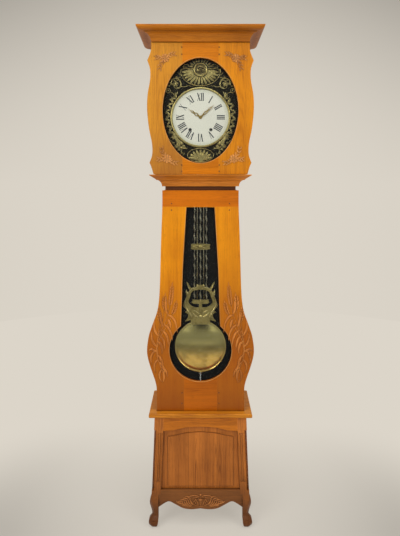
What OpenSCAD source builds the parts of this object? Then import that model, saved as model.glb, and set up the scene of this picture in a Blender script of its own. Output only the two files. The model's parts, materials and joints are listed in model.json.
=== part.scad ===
// Longcase clock with a shaped hood door, a violin-shaped waist door and a lyre pendulum.
// Millimetres. +Z is up, the front faces -Y, and the origin is on the floor at the centre of the plan.

/* [Heights] */
// Height of the feet, up to where the fluted corners start
foot_h = 147; // [130:1:165]
// Height of the base carcase above the feet
base_h = 354; // [330:1:390]
// Thickness of the moulded cap on the base
cap_h = 20; // [16:0.5:24]
// Height of the waist
waist_h = 1006.5; // [980:0.5:1060]
// Height of the recessed neck between waist and hood
neck_h = 17; // [12:1:24]
// Height of the moulding under the hood
hood_mould_h = 52.5; // [48:0.5:62]
// Height of the hood
hood_h = 594; // [585:1:640]
// Height of the cornice
cornice_h = 59; // [50:1:70]

/* [Plan sizes] */
// How far the cornice stands out from the hood
cornice_out = 61; // [52:1:66]
// Width of the cornice where it meets the hood
cornice_foot_w = 442; // [436:1:450]
// Width of the hood carcase
hood_box_w = 410; // [402:1:416]
// Depth of the hood, from its back to the face of its door
hood_d = 265; // [258:1:285]
// Width of the waist carcase
waist_box_w = 334; // [330:1:340]
// Depth of the waist, from its back to the face of its door
waist_d = 227.5; // [224:0.5:236]
// How far the neck is set in from the waist on each side
neck_inset = 6; // [4:0.5:8]
// How far the foot of the hood moulding stands out from the neck
mould_foot_out = 14; // [11:0.5:17]
// How far the hood moulding stands out at its top
hood_mould_out = 53.5; // [48:0.5:58]
// Width of the base at its top
base_top_w = 416; // [412:1:424]
// How far each side of the base spreads from its top to its feet
base_spread = 14; // [10:0.5:18]
// Depth of the base
base_d = 235.5; // [230:0.5:244]
// How far the cap stands out from the top of the base
cap_out = 24.5; // [18:0.5:28]
// Thickness of the carcase sides
side_t = 12; // [10:0.5:14]
// Thickness of the back boards
back_t = 10; // [8:0.5:12]
// Thickness of the floor and of the board that carries the movement
board_t = 20; // [16:1:24]

/* [Doors] */
// Thickness of both doors
door_t = 20; // [18:0.5:22]
// Running gap above and below each door
door_gap = 1.5; // [1:0.1:2.5]
// Gap between the closed doors and the carcase
leaf_gap = 2.6; // [2.2:0.1:3.2]
// Width of the hood door at its foot
hood_foot_w = 421; // [418:1:430]
// Width of the hood door at its belly
hood_belly_w = 478; // [470:1:490]
// Width of the hood door at its head
hood_head_w = 444; // [438:1:452]
// Width of the oval window
oval_w = 340; // [330:1:348]
// Height of the oval window
oval_h = 472; // [462:1:480]
// Height of the oval's centre above the foot of the hood
oval_z = 288.5; // [284:0.5:293]
// Width of the rails in the middle of the hood door
hood_rail_w = 162; // [140:1:176]
// Width of the waist door at its head
waist_head_w = 348; // [346:1:354]
// Width of the waist door at its foot
waist_foot_w = 398; // [392:1:406]
// Width of the waist door at its belly
belly_w = 487; // [476:1:498]
// Height of the belly above the foot of the waist
belly_z = 272; // [262:1:282]
// Radius of the round part of the waist window
window_r = 142; // [138:1:145]
// Height of the round part's centre above the foot of the waist
window_z = 276.5; // [272:0.5:282]
// Width of the waist window at its top
window_top_w = 128; // [120:1:136]
// Width of the waist window where it meets the round part
window_low_w = 180; // [172:1:188]
// Height of the lower cusp of the hood door above the foot of the hood
low_cusp = 53; // [48:0.5:58]
// Drop of the upper cusp of the hood door below the top of the hood
high_cusp = 82; // [74:0.5:90]
// Height of the rail above the waist window
head_rail_h = 76; // [70:1:82]
// Width of the rail below the waist window
foot_rail_w = 150; // [130:1:170]
// Thickness of the glass
glass_t = 3; // [2:0.5:4]
// Width of the ledge that the glass lies on
ledge = 7; // [5:0.5:9]
// Depth of the recess for the glass
recess_d = 8; // [6:0.5:10]

/* [Hinges] */
// Radius of a hinge knuckle
knuckle_r = 3.2; // [2.9:0.1:3.4]
// Radius of a hinge pin
pin_r = 1.5; // [1.2:0.1:1.8]
// Length of a hinge
hinge_l = 66; // [56:1:76]
// Width of a hinge leaf
hinge_leaf_w = 24; // [18:1:28]
// Thickness of a hinge leaf
hinge_leaf_t = 1.2; // [1:0.1:1.4]

/* [Dial] */
// Radius of the enamel dial
dial_r = 128; // [124:0.5:130]
// Thickness of the enamel dial at its edge
dial_t = 2; // [1.5:0.1:2.5]
// How far the enamel dial swells at its centre
dial_dome = 3; // [2:0.5:4]
// Height of the dial's centre above the foot of the hood
dial_z = 261.7; // [258:0.1:265]
// Distance of each winding hole from the centre line
wind_x = 47; // [46:0.5:48]
// Drop of the winding holes below the dial's centre
wind_drop = 56.5; // [55.5:0.5:58]
// Radius of the winding holes
wind_r = 5.5; // [5:0.1:6.5]
// Width of the ring around the dial
bezel_w = 11; // [9:0.5:12]
// Width of the pressed brass surround
surround_w = 332; // [324:1:336]
// Height of the pressed brass surround
surround_h = 464; // [450:1:470]
// Height of the round boss above the dial's centre
boss_rise = 216; // [208:0.5:222]
// Radius of the round boss
boss_r = 31; // [27:0.5:33]
// Half width of the fan below the boss
fan_w = 88; // [80:1:92]
// Drop of the shell's middle below the dial's centre
shell_drop = 173; // [168:0.5:178]
// Half width of the shell
shell_w = 57; // [50:1:60]
// Length of the hour hand
hour_hand_l = 68; // [60:1:74]
// Length of the minute hand
minute_hand_l = 87; // [82:1:104]

/* [Pendulum] */
// Radius of the bob
bob_r = 120; // [112:0.5:122]
// Thickness of the bob at its middle
bob_t = 34; // [28:1:36]
// Distance from the middle of the bob up to the pivot
pendulum_l = 1150; // [1135:1:1165]
// Distance of the outer, twisted strips from the middle
outer_rod_x = 28; // [25:0.5:30]
// Distance of the inner, plain rods from the middle
inner_rod_x = 15; // [14:0.5:16]
// Radius of the rods
rod_r = 3; // [2.5:0.1:3.2]
// Width of the twisted strips
strip_w = 8.8; // [7.6:0.2:9.2]
// Thickness of the twisted strips
strip_t = 1.8; // [1.4:0.1:2.4]
// Length of one turn of the twisted strips
strip_pitch = 90; // [80:1:110]
// Height of the lower crossbar above the foot of the waist
crossbar_rise = 742; // [700:1:780]
// Height of the lyre above the bob
lyre_h = 179; // [172:1:186]
// Thickness of the lyre's brass plate
lyre_t = 3; // [2:0.5:4]

/* [Movement] */
// Width of the iron cage
cage_w = 236; // [234:1:242]
// Depth of the iron cage
cage_d = 116; // [114:1:122]
// Thickness of the cage's top and bottom plates
plate_t = 5; // [4:0.5:6]
// Thickness of the cage's upright bars
bar_t = 6; // [5:0.5:7]
// Width of the cage's upright bars
bar_w = 14; // [12:0.5:16]
// Teeth of the great wheels
great_teeth = 96; // [96:8:96]
// Teeth of the centre wheel
centre_teeth = 56; // [48:8:56]
// Teeth of the third wheel
third_teeth = 64; // [56:8:64]
// Teeth of the escape wheel
escape_teeth = 30; // [24:2:30]
// Leaves of every pinion
pinion_teeth = 8; // [7:1:8]
// Tooth size of the centre wheel
centre_module = 0.95; // [0.9:0.01:1]
// Tooth size of the third wheel
third_module = 0.8; // [0.76:0.01:0.82]
// Teeth of the pin wheel
pin_wheel_teeth = 64; // [56:8:64]
// Tooth size of the pin wheel
pin_wheel_module = 0.9; // [0.86:0.01:0.92]
// Thickness of a wheel
wheel_t = 2.5; // [2:0.1:3]
// Radius of the arbors
arbor_r = 2.5; // [2:0.1:2.8]
// Radius of the pivots in the bars
pivot_r = 1.5; // [1.2:0.1:1.8]
// Clearance around a pivot or a pin
fit = 0.05; // [0.03:0.01:0.08]
// Radius of the escape wheel
escape_r = 22; // [20:0.5:22.5]
// Radius of the drums
drum_r = 18; // [16:0.5:20]
// Length of the drums
drum_l = 64; // [60:1:66]
// Radius of the ropes
rope_r = 2; // [1.5:0.1:2.2]
// Radius of a weight
weight_r = 44; // [40:0.5:45]
// Length of a weight
weight_l = 150; // [140:1:160]
// Height of a weight's foot above the foot of the waist, when it is wound up
weight_z = 930; // [920:1:940]
// Distance of the weights from the back of the clock
weight_back = 88; // [80:1:94]
// Radius of the bell
bell_r = 48; // [44:1:52]
// Height of the bell
bell_h = 34; // [30:1:40]

/* [Hidden] */

$fn = 48;
eps = 0.01;
wood = "#c8802f";
brown = "#9c6534";
dark = "#6e3c1c";
brass = "#c9a24c";
iron = "#3c3a38";
steel = "#b5b7ba";
enamel = "#f2efe6";
glass = "#bcd2d8";

// Heights of the seams
cap_z = foot_h + base_h;
waist_z = cap_z + cap_h;
neck_z = waist_z + waist_h;
mould_z = neck_z + neck_h;
hood_z = mould_z + hood_mould_h;
cornice_z = hood_z + hood_h;
top_z = cornice_z + cornice_h;

// Fronts and backs
cornice_step = 9;
total_d = hood_d + cornice_out + cornice_step;
back_y = total_d / 2;
board_y = back_y - back_t;
hood_front = back_y - hood_d;
hood_box_y = hood_front + door_t + leaf_gap;
waist_front = back_y - waist_d;
waist_box_y = waist_front + door_t + leaf_gap;
base_front = back_y - base_d;
neck_front = waist_front + 13;

// Half widths that many pieces share
neck_half = waist_box_w / 2 - neck_inset;
mould_half = neck_half + mould_foot_out;
base_foot_half = base_top_w / 2 + base_spread;
hood_in = hood_box_w / 2 - side_t;
waist_in = waist_box_w / 2 - side_t;

// Places of the movement
dial_cz = hood_z + dial_z;
wind_z = dial_cz - wind_drop;
pendulum_y = waist_front + 55;
cage_y = pendulum_y + 25;
cage_back = cage_y + cage_d;
motion_y = pendulum_y - 10;
train_gap = sqrt(wind_x * wind_x + wind_drop * wind_drop);
great_module = 2 * train_gap / (great_teeth + pinion_teeth);
third_z = dial_cz + centre_module * (centre_teeth + pinion_teeth) / 2;
escape_z = third_z + third_module * (third_teeth + pinion_teeth) / 2;
anchor_rise = escape_r + 10;
pivot_z = escape_z + anchor_rise;
pin_wheel_z = wind_z + train_gap;
fly_z = pin_wheel_z + pin_wheel_module * (pin_wheel_teeth + pinion_teeth) / 2;
hammer_z = fly_z + 37;
cage_top = pivot_z + 25;
seat_top = wind_z - great_module * great_teeth / 2 - 30;
cage_foot = seat_top;
seat_z = seat_top - board_t;
dial_back = waist_front + 5;
bob_z = pivot_z - pendulum_l;
weight_y = back_y - weight_back;
weight_foot = waist_z + weight_z;
function weight_x(s) = s * wind_x - drum_r - rope_r;
hook_h = 34;
rope_foot = weight_foot + weight_l + hook_h;

// A smooth line through points, with steps pieces between each two
function between(p, i, t) = let (a = p[max(i - 1, 0)], b = p[i], c = p[i + 1], d = p[min(i + 2, len(p) - 1)])
    0.5 * (2 * b + (c - a) * t + (2 * a - 5 * b + 4 * c - d) * t * t + (3 * b - a - 3 * c + d) * t * t * t);
function smooth(p, steps = 5) = concat([for (i = [0 : len(p) - 2]) for (k = [0 : steps - 1])
    between(p, i, k / steps)], [p[len(p) - 1]]);
function flip(p) = [for (i = [len(p) - 1 : -1 : 0]) [-p[i][0], p[i][1]]];
function backwards(p) = [for (i = [len(p) - 1 : -1 : 0]) p[i]];
function both(p) = concat(p, flip(p));

// A front view outline, from y0 back to y1
module front_view(y0, y1) {
    translate([0, y1, 0]) rotate([90, 0, 0]) linear_extrude(y1 - y0) children();
}
// A side view outline, from x0 to x1
module side_view(x0, x1) {
    translate([x0, 0, 0]) rotate([90, 0, 90]) linear_extrude(x1 - x0) children();
}
// A box between two corners
module block(a, b) {
    translate(a) cube(b - a);
}
// A round bar along Y
module bar_y(x, z, y0, y1, r) {
    translate([x, y1, z]) rotate([90, 0, 0]) cylinder(h = y1 - y0, r = r);
}
// A moulding with mitred returns: the edge is a list of [how far it stands out, height]
module moulding(edge, half, front) {
    intersection() {
        front_view(front - 200, back_y)
            polygon(both([for (p = edge) [half + p[0], p[1]]]));
        side_view(-half - 200, half + 200)
            polygon(concat([for (p = edge) [front - p[0], p[1]]],
                           [[back_y, edge[len(edge) - 1][1]], [back_y, edge[0][1]]]));
    }
}
// A hollow curve that runs outwards as it climbs from a to b
function hollow(a, b, steps = 7) = [for (i = [0 : steps]) let (t = 90 * i / steps)
    [a[0] + (b[0] - a[0]) * (1 - cos(t)), a[1] + (b[1] - a[1]) * sin(t)]];
// A round edge that runs outwards as it climbs from a to b
function rounded(a, b, steps = 6) = [for (i = [0 : steps]) let (t = 90 * i / steps)
    [a[0] + (b[0] - a[0]) * sin(t), a[1] + (b[1] - a[1]) * (1 - cos(t))]];

// Cornice and hood
fillet = 3;
cornice_hollow = 26;
cornice_break = cornice_z + 35;
cornice_edge = concat(hollow([0, cornice_z], [cornice_hollow, cornice_break]),
    [[cornice_hollow + fillet - 1, cornice_break], [cornice_hollow + fillet - 1, cornice_break + fillet],
     [cornice_hollow + 2 * fillet - 1, cornice_break + fillet]],
    rounded([cornice_hollow + 2 * fillet - 1, cornice_break + fillet + 1], [cornice_out, top_z - fillet]),
    [[cornice_out, top_z]]);
cornice_front = hood_front - cornice_step;
module cornice() {
    color(wood) difference() {
        moulding(cornice_edge, cornice_foot_w / 2, cornice_front);
        block([-hood_in, hood_box_y, cornice_z - 1], [hood_in, back_y + 1, top_z + 1]);
    }
}
module hood_top() {
    color(wood) block([-hood_in, hood_box_y, cornice_z - side_t], [hood_in, board_y, cornice_z]);
}
module hood_side(side) {
    x0 = side < 0 ? -hood_box_w / 2 : hood_in;
    color(wood) block([x0, hood_box_y, hood_z], [x0 + side_t, back_y, cornice_z]);
}
module hood_back() {
    color(brown) block([-hood_in, board_y, hood_z], [hood_in, back_y, cornice_z]);
}
mould_hollow = 24;
mould_break = mould_z + 29;
mould_edge = concat(hollow([0, mould_z], [mould_hollow, mould_break]),
    [[mould_hollow + fillet - 1, mould_break], [mould_hollow + fillet - 1, mould_break + fillet],
     [hood_mould_out, hood_z - fillet], [hood_mould_out, hood_z]]);
mould_front = neck_front - mould_foot_out;
neck_seat = 6;
module hood_moulding() {
    color(wood) difference() {
        moulding(mould_edge, mould_half, mould_front);
        block([-neck_half + neck_seat, neck_front + neck_seat, mould_z - 1],
              [neck_half - neck_seat, back_y + 1, hood_z + 1]);
    }
}

// Neck, cheeks, seatboard and waist carcase
head_rail_t = 12;
back_rail_h = 26;
module neck() {
    color(brown) {
        difference() {
            block([-neck_half, neck_front, neck_z], [neck_half, board_y, mould_z]);
            block([-waist_in, waist_box_y + head_rail_t, neck_z - 1], [waist_in, back_y, mould_z + 1]);
        }
        block([-waist_in, waist_box_y, neck_z - back_rail_h], [waist_in, waist_box_y + head_rail_t, neck_z]);
    }
}
cheek_t = 16;
cheek_drop = 130;
cheek_foot = neck_z - cheek_drop;
module cheeks() {
    color(brown) for (s = [-1, 1]) {
        x = s < 0 ? -waist_in : waist_in - cheek_t;
        block([x, cage_y - 8, cheek_foot], [x + cheek_t, board_y, seat_z]);
    }
}
rope_slot_r = 9;
module seatboard() {
    color(brown) difference() {
        block([-waist_in, cage_y - 8, seat_z], [waist_in, board_y, seat_top]);
        for (s = [-1, 1])
            translate([weight_x(s), weight_y, seat_z - 1]) cylinder(h = board_t + 2, r = rope_slot_r);
    }
}
module waist_side(side) {
    x0 = side < 0 ? -waist_box_w / 2 : waist_in;
    color(wood) block([x0, waist_box_y, waist_z], [x0 + side_t, back_y, neck_z]);
}
module waist_back() {
    color(brown) block([-waist_in, board_y, waist_z], [waist_in, back_y, hood_z]);
}

// Base
cap_edge = concat(rounded([cap_out - 9, cap_z], [cap_out, cap_z + 8]), [[cap_out, waist_z - 5]],
    [for (i = [1 : 6]) [cap_out - 5 * (1 - cos(15 * i)), waist_z - 5 + 5 * sin(15 * i)]]);
module base_cap() {
    color(wood) difference() {
        moulding(cap_edge, base_top_w / 2, base_front);
        block([-waist_in, waist_box_y, cap_z - 1], [waist_in, board_y, waist_z + 1]);
    }
}
function base_half(z) = base_foot_half - base_spread * (z - foot_h) / base_h;
post_w = 42;
post_t = 24;
function post_in(z) = base_half(z) - post_w;
rail_foot = cap_z - 67;
rail_rise = 20;
rail_arch = smooth([[post_in(rail_foot), rail_foot], [120, rail_foot + 4], [70, rail_foot + rail_rise - 5],
                    [0, rail_foot + rail_rise]]);
module base_top_rail() {
    color(brown) front_view(base_front, base_front + post_t)
        polygon(both(concat(backwards(rail_arch), [[post_in(cap_z), cap_z]])));
}
apron_top = foot_h + 21;
leg_in = 191;
module base_apron() {
    edge = smooth([[0, 83], [41, 79], [78, 84], [110, 100], [142, 115], [168, 104], [leg_in, 88]]);
    color(brown) front_view(base_front, base_front + post_t)
        polygon(both(concat(edge, [[leg_in, foot_h], [post_in(foot_h), foot_h],
                                   [post_in(apron_top), apron_top]])));
}
panel_inset = 6;
panel_t = 10;
field_t = 4;
field_margin = 32;
module base_panel() {
    y = base_front + panel_inset;
    field_top = rail_foot - field_margin;
    color(brown) union() {
        front_view(y + field_t, y + field_t + panel_t)
            polygon(both(concat([[post_in(apron_top), apron_top]], rail_arch)));
        front_view(y, y + field_t + 1)
            polygon(both(concat([[post_in(foot_h) - field_margin, apron_top + 14]],
                smooth([[post_in(cap_z) - 18, field_top + 3], [118, field_top + 7], [70, field_top + 18],
                        [0, field_top + 24]]))));
    }
}
// The tapered outline of one side of the base, between the heights z0 and z1
function base_slab(z0, z1, inset, t) = [[base_half(z0) - inset, z0], [base_half(z1) - inset, z1],
                                        [base_half(z1) - inset - t, z1], [base_half(z0) - inset - t, z0]];
side_inset = 4;
rear_post_t = 30;
module base_side(side) {
    color(brown) mirror([side < 0 ? 1 : 0, 0, 0])
        front_view(base_front + post_t, back_y - rear_post_t)
            polygon(base_slab(foot_h - 20, cap_z, side_inset, side_t));
}
module base_back() {
    color(brown) front_view(board_y, back_y)
        polygon(both([[base_half(foot_h - 20) - side_inset - side_t, foot_h - 20],
                      [base_half(cap_z) - side_inset - side_t, cap_z]]));
}
floor_z = foot_h + 6;
module base_floor() {
    half = base_half(floor_z) - side_inset - side_t;
    color(brown) front_view(base_front + post_t, board_y)
        polygon(both([[half, floor_z], [base_half(floor_z + board_t) - side_inset - side_t, floor_z + board_t]]));
}
// How far the front foot stands out from the post above it, from the floor up
foot_swell = [[0.5, 0], [7.5, 6], [11.5, 15], [12.4, 25], [9.5, 35], [3, 43], [-2, 49], [-2.2, 57], [0.5, 75],
              [5.5, 94], [8, 110], [6, 126], [1.5, 138], [0, foot_h]];
// How far its rounded corner stands out from the corner of the post, along the diagonal
foot_corner = [[-6, -1], [5.6, 9.3], [10, 18.5], [9.4, 29], [-1.6, 41.5], [-10.9, 51], [-10.6, 62], [-3.8, 84],
               [1.9, 103], [3.4, 119], [0.1, 132.5], [-2.5, foot_h + 3.4]];
// The back edge of the front foot, from the floor up
foot_back = [[202, 0], [197, 8], [193, 18], [191, 30], [189, 42], [189, 60], [190, 88]];
taper = atan(base_spread / base_h);
cant = 22;
flute_r = 3.2;
flute_foot = foot_h + 16;
flute_top = rail_foot + 4;
module foot_outline(inner) {
    outer = smooth([for (p = foot_swell) [base_foot_half + p[0], p[1]]], 4);
    polygon(concat(outer, [[base_half(cap_z), cap_z], [inner, cap_z], [inner, 88]],
                   backwards(smooth(foot_back, 4))));
}
module front_leg() {
    difference() {
        intersection() {
            front_view(base_front - 20, base_front + post_t)
                foot_outline(post_in(cap_z));
            side_view(100, 300)
                polygon(concat(smooth([for (p = foot_swell) [base_front - p[0], p[1]]], 4),
                    [[base_front, cap_z], [base_front + post_t, cap_z], [base_front + post_t, 0]]));
            translate([base_foot_half, base_front, 0]) rotate([0, 0, -45]) front_view(-80, 80)
                polygon(concat(smooth(foot_corner, 3),
                    [[20, foot_h + 5.7], [20, cap_z + 1], [-100, cap_z + 1], [-100, -1]]));
            front_view(base_front - 30, base_front + post_t + 1)
                polygon([[leg_in, -1], [300, -1], [300, cap_z], [post_in(cap_z), cap_z],
                         [post_in(foot_h), foot_h], [leg_in, foot_h]]);
        }
        translate([base_half(foot_h), base_front, foot_h]) rotate([0, -taper, 0]) {
            translate([0, 0, flute_foot - foot_h]) rotate([0, 0, 45])
                translate([-cant / sqrt(2) / 2, -cant, 0]) cube([cant, 2 * cant, flute_top - flute_foot]);
            for (k = [-1 : 1])
                translate([-cant / 2 + k * 5.4, cant / 2 + k * 5.4, flute_foot - foot_h + 10])
                    cylinder(h = flute_top - flute_foot - 20, r = flute_r, $fn = 24);
        }
    }
}
module front_legs() {
    color(dark) {
        front_leg();
        mirror([1, 0, 0]) front_leg();
    }
}
module rear_leg() {
    intersection() {
        front_view(back_y - rear_post_t, back_y)
            polygon(base_slab(0, cap_z, 0, side_inset + side_t));
        side_view(0, 400)
            polygon([[back_y - rear_post_t, cap_z], [back_y, cap_z], [back_y, 0], [back_y - 22, 0],
                     [back_y - 22, 30], [back_y - rear_post_t, 60]]);
    }
}
module rear_legs() {
    color(dark) {
        rear_leg();
        mirror([1, 0, 0]) rear_leg();
    }
}

// Hood door, with a cusp where one curve of its edge meets the next
hood_door_foot = hood_z + door_gap;
hood_door_top = cornice_z - door_gap;
hood_half = hood_foot_w / 2;
hood_swell = (hood_belly_w - hood_foot_w) / 2;
cusp_span = hood_h - low_cusp - high_cusp;
function door_point(swell, rise) = [hood_half + hood_swell * swell, hood_z + low_cusp + cusp_span * rise];
function door_head(rise) = cornice_z - high_cusp * (1 - rise);
hood_door_edge = concat(
    smooth([[hood_half, hood_door_foot], [hood_half + hood_swell * 0.36, hood_z + low_cusp * 0.68],
            door_point(0.63, 0)]),
    smooth([door_point(0.55, 0.011), door_point(0.2, 0.085), door_point(0.24, 0.19), door_point(0.7, 0.333),
            door_point(1, 0.508), door_point(0.94, 0.662), door_point(0.55, 0.808), door_point(0.55, 0.915),
            door_point(0.98, 1)]),
    smooth([[hood_half + hood_swell * 0.9, door_head(0.07)], [hood_half + hood_swell * 0.52, door_head(0.4)],
            [hood_head_w / 2 - 1, door_head(0.68)], [hood_head_w / 2, hood_door_top]]));
module oval(margin, y0, y1) {
    front_view(y0, y1)
        polygon([for (a = [0 : 5 : 355]) [(oval_w / 2 + margin) * cos(a),
                                         hood_z + oval_z + (oval_h / 2 + margin) * sin(a)]]);
}
hood_door_back = hood_front + door_t;
module hood_board(x0, x1, z0, z1) {
    color(wood) difference() {
        intersection() {
            front_view(hood_front, hood_door_back) polygon(both(hood_door_edge));
            block([x0, hood_front - 1, z0], [x1, hood_door_back + 1, z1]);
        }
        oval(0, hood_front - 1, hood_door_back + 1);
        oval(ledge, hood_door_back - recess_d, hood_door_back + 1);
    }
}
hood_mid = hood_z + oval_z;
hood_rail_half = hood_rail_w / 2;
module hood_stile(side) {
    hood_board(side < 0 ? -300 : hood_rail_half, side < 0 ? -hood_rail_half : 300, hood_z, cornice_z);
}
module hood_rail_top() {
    hood_board(-hood_rail_half, hood_rail_half, hood_mid, cornice_z);
}
module hood_rail_bottom() {
    hood_board(-hood_rail_half, hood_rail_half, hood_z, hood_mid);
}
glass_slack = 0.3;
module hood_glass() {
    y = hood_door_back - recess_d;
    color(glass) oval(ledge - glass_slack, y, y + glass_t);
}

// Waist door
waist_door_foot = waist_z + door_gap;
waist_door_top = neck_z - door_gap;
belly = belly_w / 2;
belly_swell = belly - waist_foot_w / 2;
waist_door_edge = smooth([[waist_foot_w / 2, waist_door_foot], [waist_foot_w / 2, waist_z + 88],
    [waist_foot_w / 2 + belly_swell * 0.13, waist_z + belly_z - 140],
    [waist_foot_w / 2 + belly_swell * 0.75, waist_z + belly_z - 57],
    [belly, waist_z + belly_z], [belly - 7, waist_z + belly_z + 65], [belly - 20, waist_z + belly_z + 108],
    [belly - 42, waist_z + belly_z + 168], [belly - 51, waist_z + belly_z + 206],
    [belly - 58, waist_z + belly_z + 290], [waist_head_w / 2 + 5.5, neck_z - 3 * head_rail_h],
    [waist_head_w / 2, neck_z - head_rail_h], [waist_head_w / 2, waist_door_top]]);
waist_door_back = waist_front + door_t;
window_cz = waist_z + window_z;
window_top = neck_z - head_rail_h - 2;
window_join = 110;
module window(margin, y0, y1) {
    bar_y(0, window_cz, y0, y1, window_r + margin);
    front_view(y0, y1)
        polygon(both([[window_low_w / 2 + margin, window_cz + window_join - 20],
                      [window_low_w / 2 - 5 + margin, window_cz + window_join + 120],
                      [window_top_w / 2 + 17 + margin, window_cz + window_join + 256],
                      [window_top_w / 2 + margin, window_top + margin]]));
}
module waist_board(x0, x1, z0, z1) {
    color(wood) difference() {
        intersection() {
            front_view(waist_front, waist_door_back) polygon(both(waist_door_edge));
            block([x0, waist_front - 1, z0], [x1, waist_door_back + 1, z1]);
        }
        window(0, waist_front - 1, waist_door_back + 1);
        window(ledge, waist_door_back - recess_d, waist_door_back + 1);
    }
}
rail_seam = neck_z - head_rail_h;
module waist_stile(side) {
    half = foot_rail_w / 2;
    color(wood) difference() {
        waist_board(side < 0 ? -300 : 0, side < 0 ? 0 : 300, waist_z, rail_seam);
        block([-half, waist_front - 2, waist_z - 1], [half, waist_door_back + 2, window_cz]);
    }
}
module waist_rail_top() {
    waist_board(-300, 300, rail_seam, neck_z);
}
module waist_rail_bottom() {
    waist_board(-foot_rail_w / 2, foot_rail_w / 2, waist_z, window_cz);
}
module waist_glass() {
    y = waist_door_back - recess_d;
    color(glass) window(ledge - glass_slack, y, y + glass_t);
}

// Hinges: each door turns about two pins beside the right side of its carcase
function hinge_x(box_w) = box_w / 2 + knuckle_r + 0.3;
function hinge_y(door_back) = door_back + knuckle_r + 0.2;
low_hinge = 110;
hinge_margin = 60;
hood_hinges = [hood_z + low_hinge, cornice_z - hinge_margin - hinge_l];
waist_hinges = [waist_z + hinge_margin + 14, neck_z - hinge_margin - hinge_l];
module hinge_fixed(box_w, door_back, z) {
    x = hinge_x(box_w);
    y = hinge_y(door_back);
    third = hinge_l / 3;
    for (k = [0, 2]) {
        translate([x, y, z + k * third]) cylinder(h = third, r = knuckle_r);
        block([box_w / 2, y, z + k * third], [x, y + knuckle_r, z + (k + 1) * third]);
    }
    block([box_w / 2, y + knuckle_r - 0.5, z], [box_w / 2 + hinge_leaf_t, y + hinge_leaf_w, z + hinge_l]);
    translate([x, y, z - 1]) cylinder(h = hinge_l + 2, r = pin_r);
}
module hinge_moving(box_w, door_back, z) {
    x = hinge_x(box_w);
    y = hinge_y(door_back);
    third = hinge_l / 3;
    gap = 0.4;
    difference() {
        union() {
            translate([x, y, z + third + gap]) cylinder(h = third - 2 * gap, r = knuckle_r);
            block([x - knuckle_r - hinge_leaf_w, door_back, z + third + gap],
                  [x, door_back + hinge_leaf_t, z + 2 * third - gap]);
        }
        translate([x, y, z]) cylinder(h = hinge_l, r = pin_r + fit);
    }
}
module case_hinges() {
    color(brass) {
        for (z = hood_hinges) hinge_fixed(hood_box_w, hood_door_back, z);
        for (z = waist_hinges) hinge_fixed(waist_box_w, waist_door_back, z);
    }
}
module hood_door_hinges() {
    color(brass) for (z = hood_hinges) hinge_moving(hood_box_w, hood_door_back, z);
}
module waist_door_hinges() {
    color(brass) for (z = waist_hinges) hinge_moving(waist_box_w, waist_door_back, z);
}

// Wheels and pinions, seen from the front: turn is the angle of the middle of one tooth
function tooth(m, n, width, a) = let (pitch = 360 / n, r = m * n / 2)
    [for (p = [[r - 1.15 * m, -0.62], [r - 0.1 * m, -0.5], [r + 0.8 * m, -0.2],
               [r + 0.8 * m, 0.2], [r - 0.1 * m, 0.5], [r - 1.15 * m, 0.62]])
        let (b = a + p[1] * width * pitch) [p[0] * cos(b), p[0] * sin(b)]];
module toothed(m, n, width, turn, thickness) {
    linear_extrude(thickness)
        polygon([for (i = [0 : n - 1]) each tooth(m, n, width, turn + i * 360 / n)]);
}
module at_y(x, z, y0) {
    translate([x, y0, z]) rotate([90, 0, 0]) mirror([0, 0, 1]) children();
}
// A spoked wheel, cut to its rim, arms and hub
module spoked(rim, hub, arm, spokes) {
    difference() {
        cylinder(h = wheel_t + 2, r = rim);
        translate([0, 0, -1]) cylinder(h = wheel_t + 4, r = hub);
        for (k = [0 : spokes - 1])
            rotate([0, 0, 45 + k * 360 / spokes])
                translate([0, -arm / 2, -1]) cube([rim + 1, arm, wheel_t + 4]);
    }
}
module wheel(x, z, y, m, n, turn, hub) {
    r = m * n / 2;
    difference() {
        at_y(x, z, y) toothed(m, n, 0.42, turn, wheel_t);
        at_y(x, z, y - 1) spoked(r - 1.15 * m - max(2.5, r * 0.09), hub, max(3, r * 0.12), 4);
    }
}
pinion_w = 9;
module pinion(x, z, y, m, turn) {
    at_y(x, z, y) toothed(m, pinion_teeth, 0.33, turn, pinion_w);
}
// An arbor with a pivot at each end, running in the bars
module arbor(x, z) {
    bar_y(x, z, cage_y + bar_t + 0.5, cage_back - bar_t - 0.5, arbor_r);
    bar_y(x, z, cage_y, cage_back, pivot_r);
}

// Where each wheel sits along the cage
going_great_y = cage_back - bar_t - 16;
centre_wheel_y = going_great_y - 14;
third_wheel_y = centre_wheel_y - 14;
escape_wheel_y = third_wheel_y - 14;
strike_great_y = cage_y + bar_t + 7;
pin_wheel_y = strike_great_y + 14;
fly_y = pin_wheel_y + 12;
mesh = atan2(wind_drop, wind_x);
half_gap = 180 / pinion_teeth;

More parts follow.
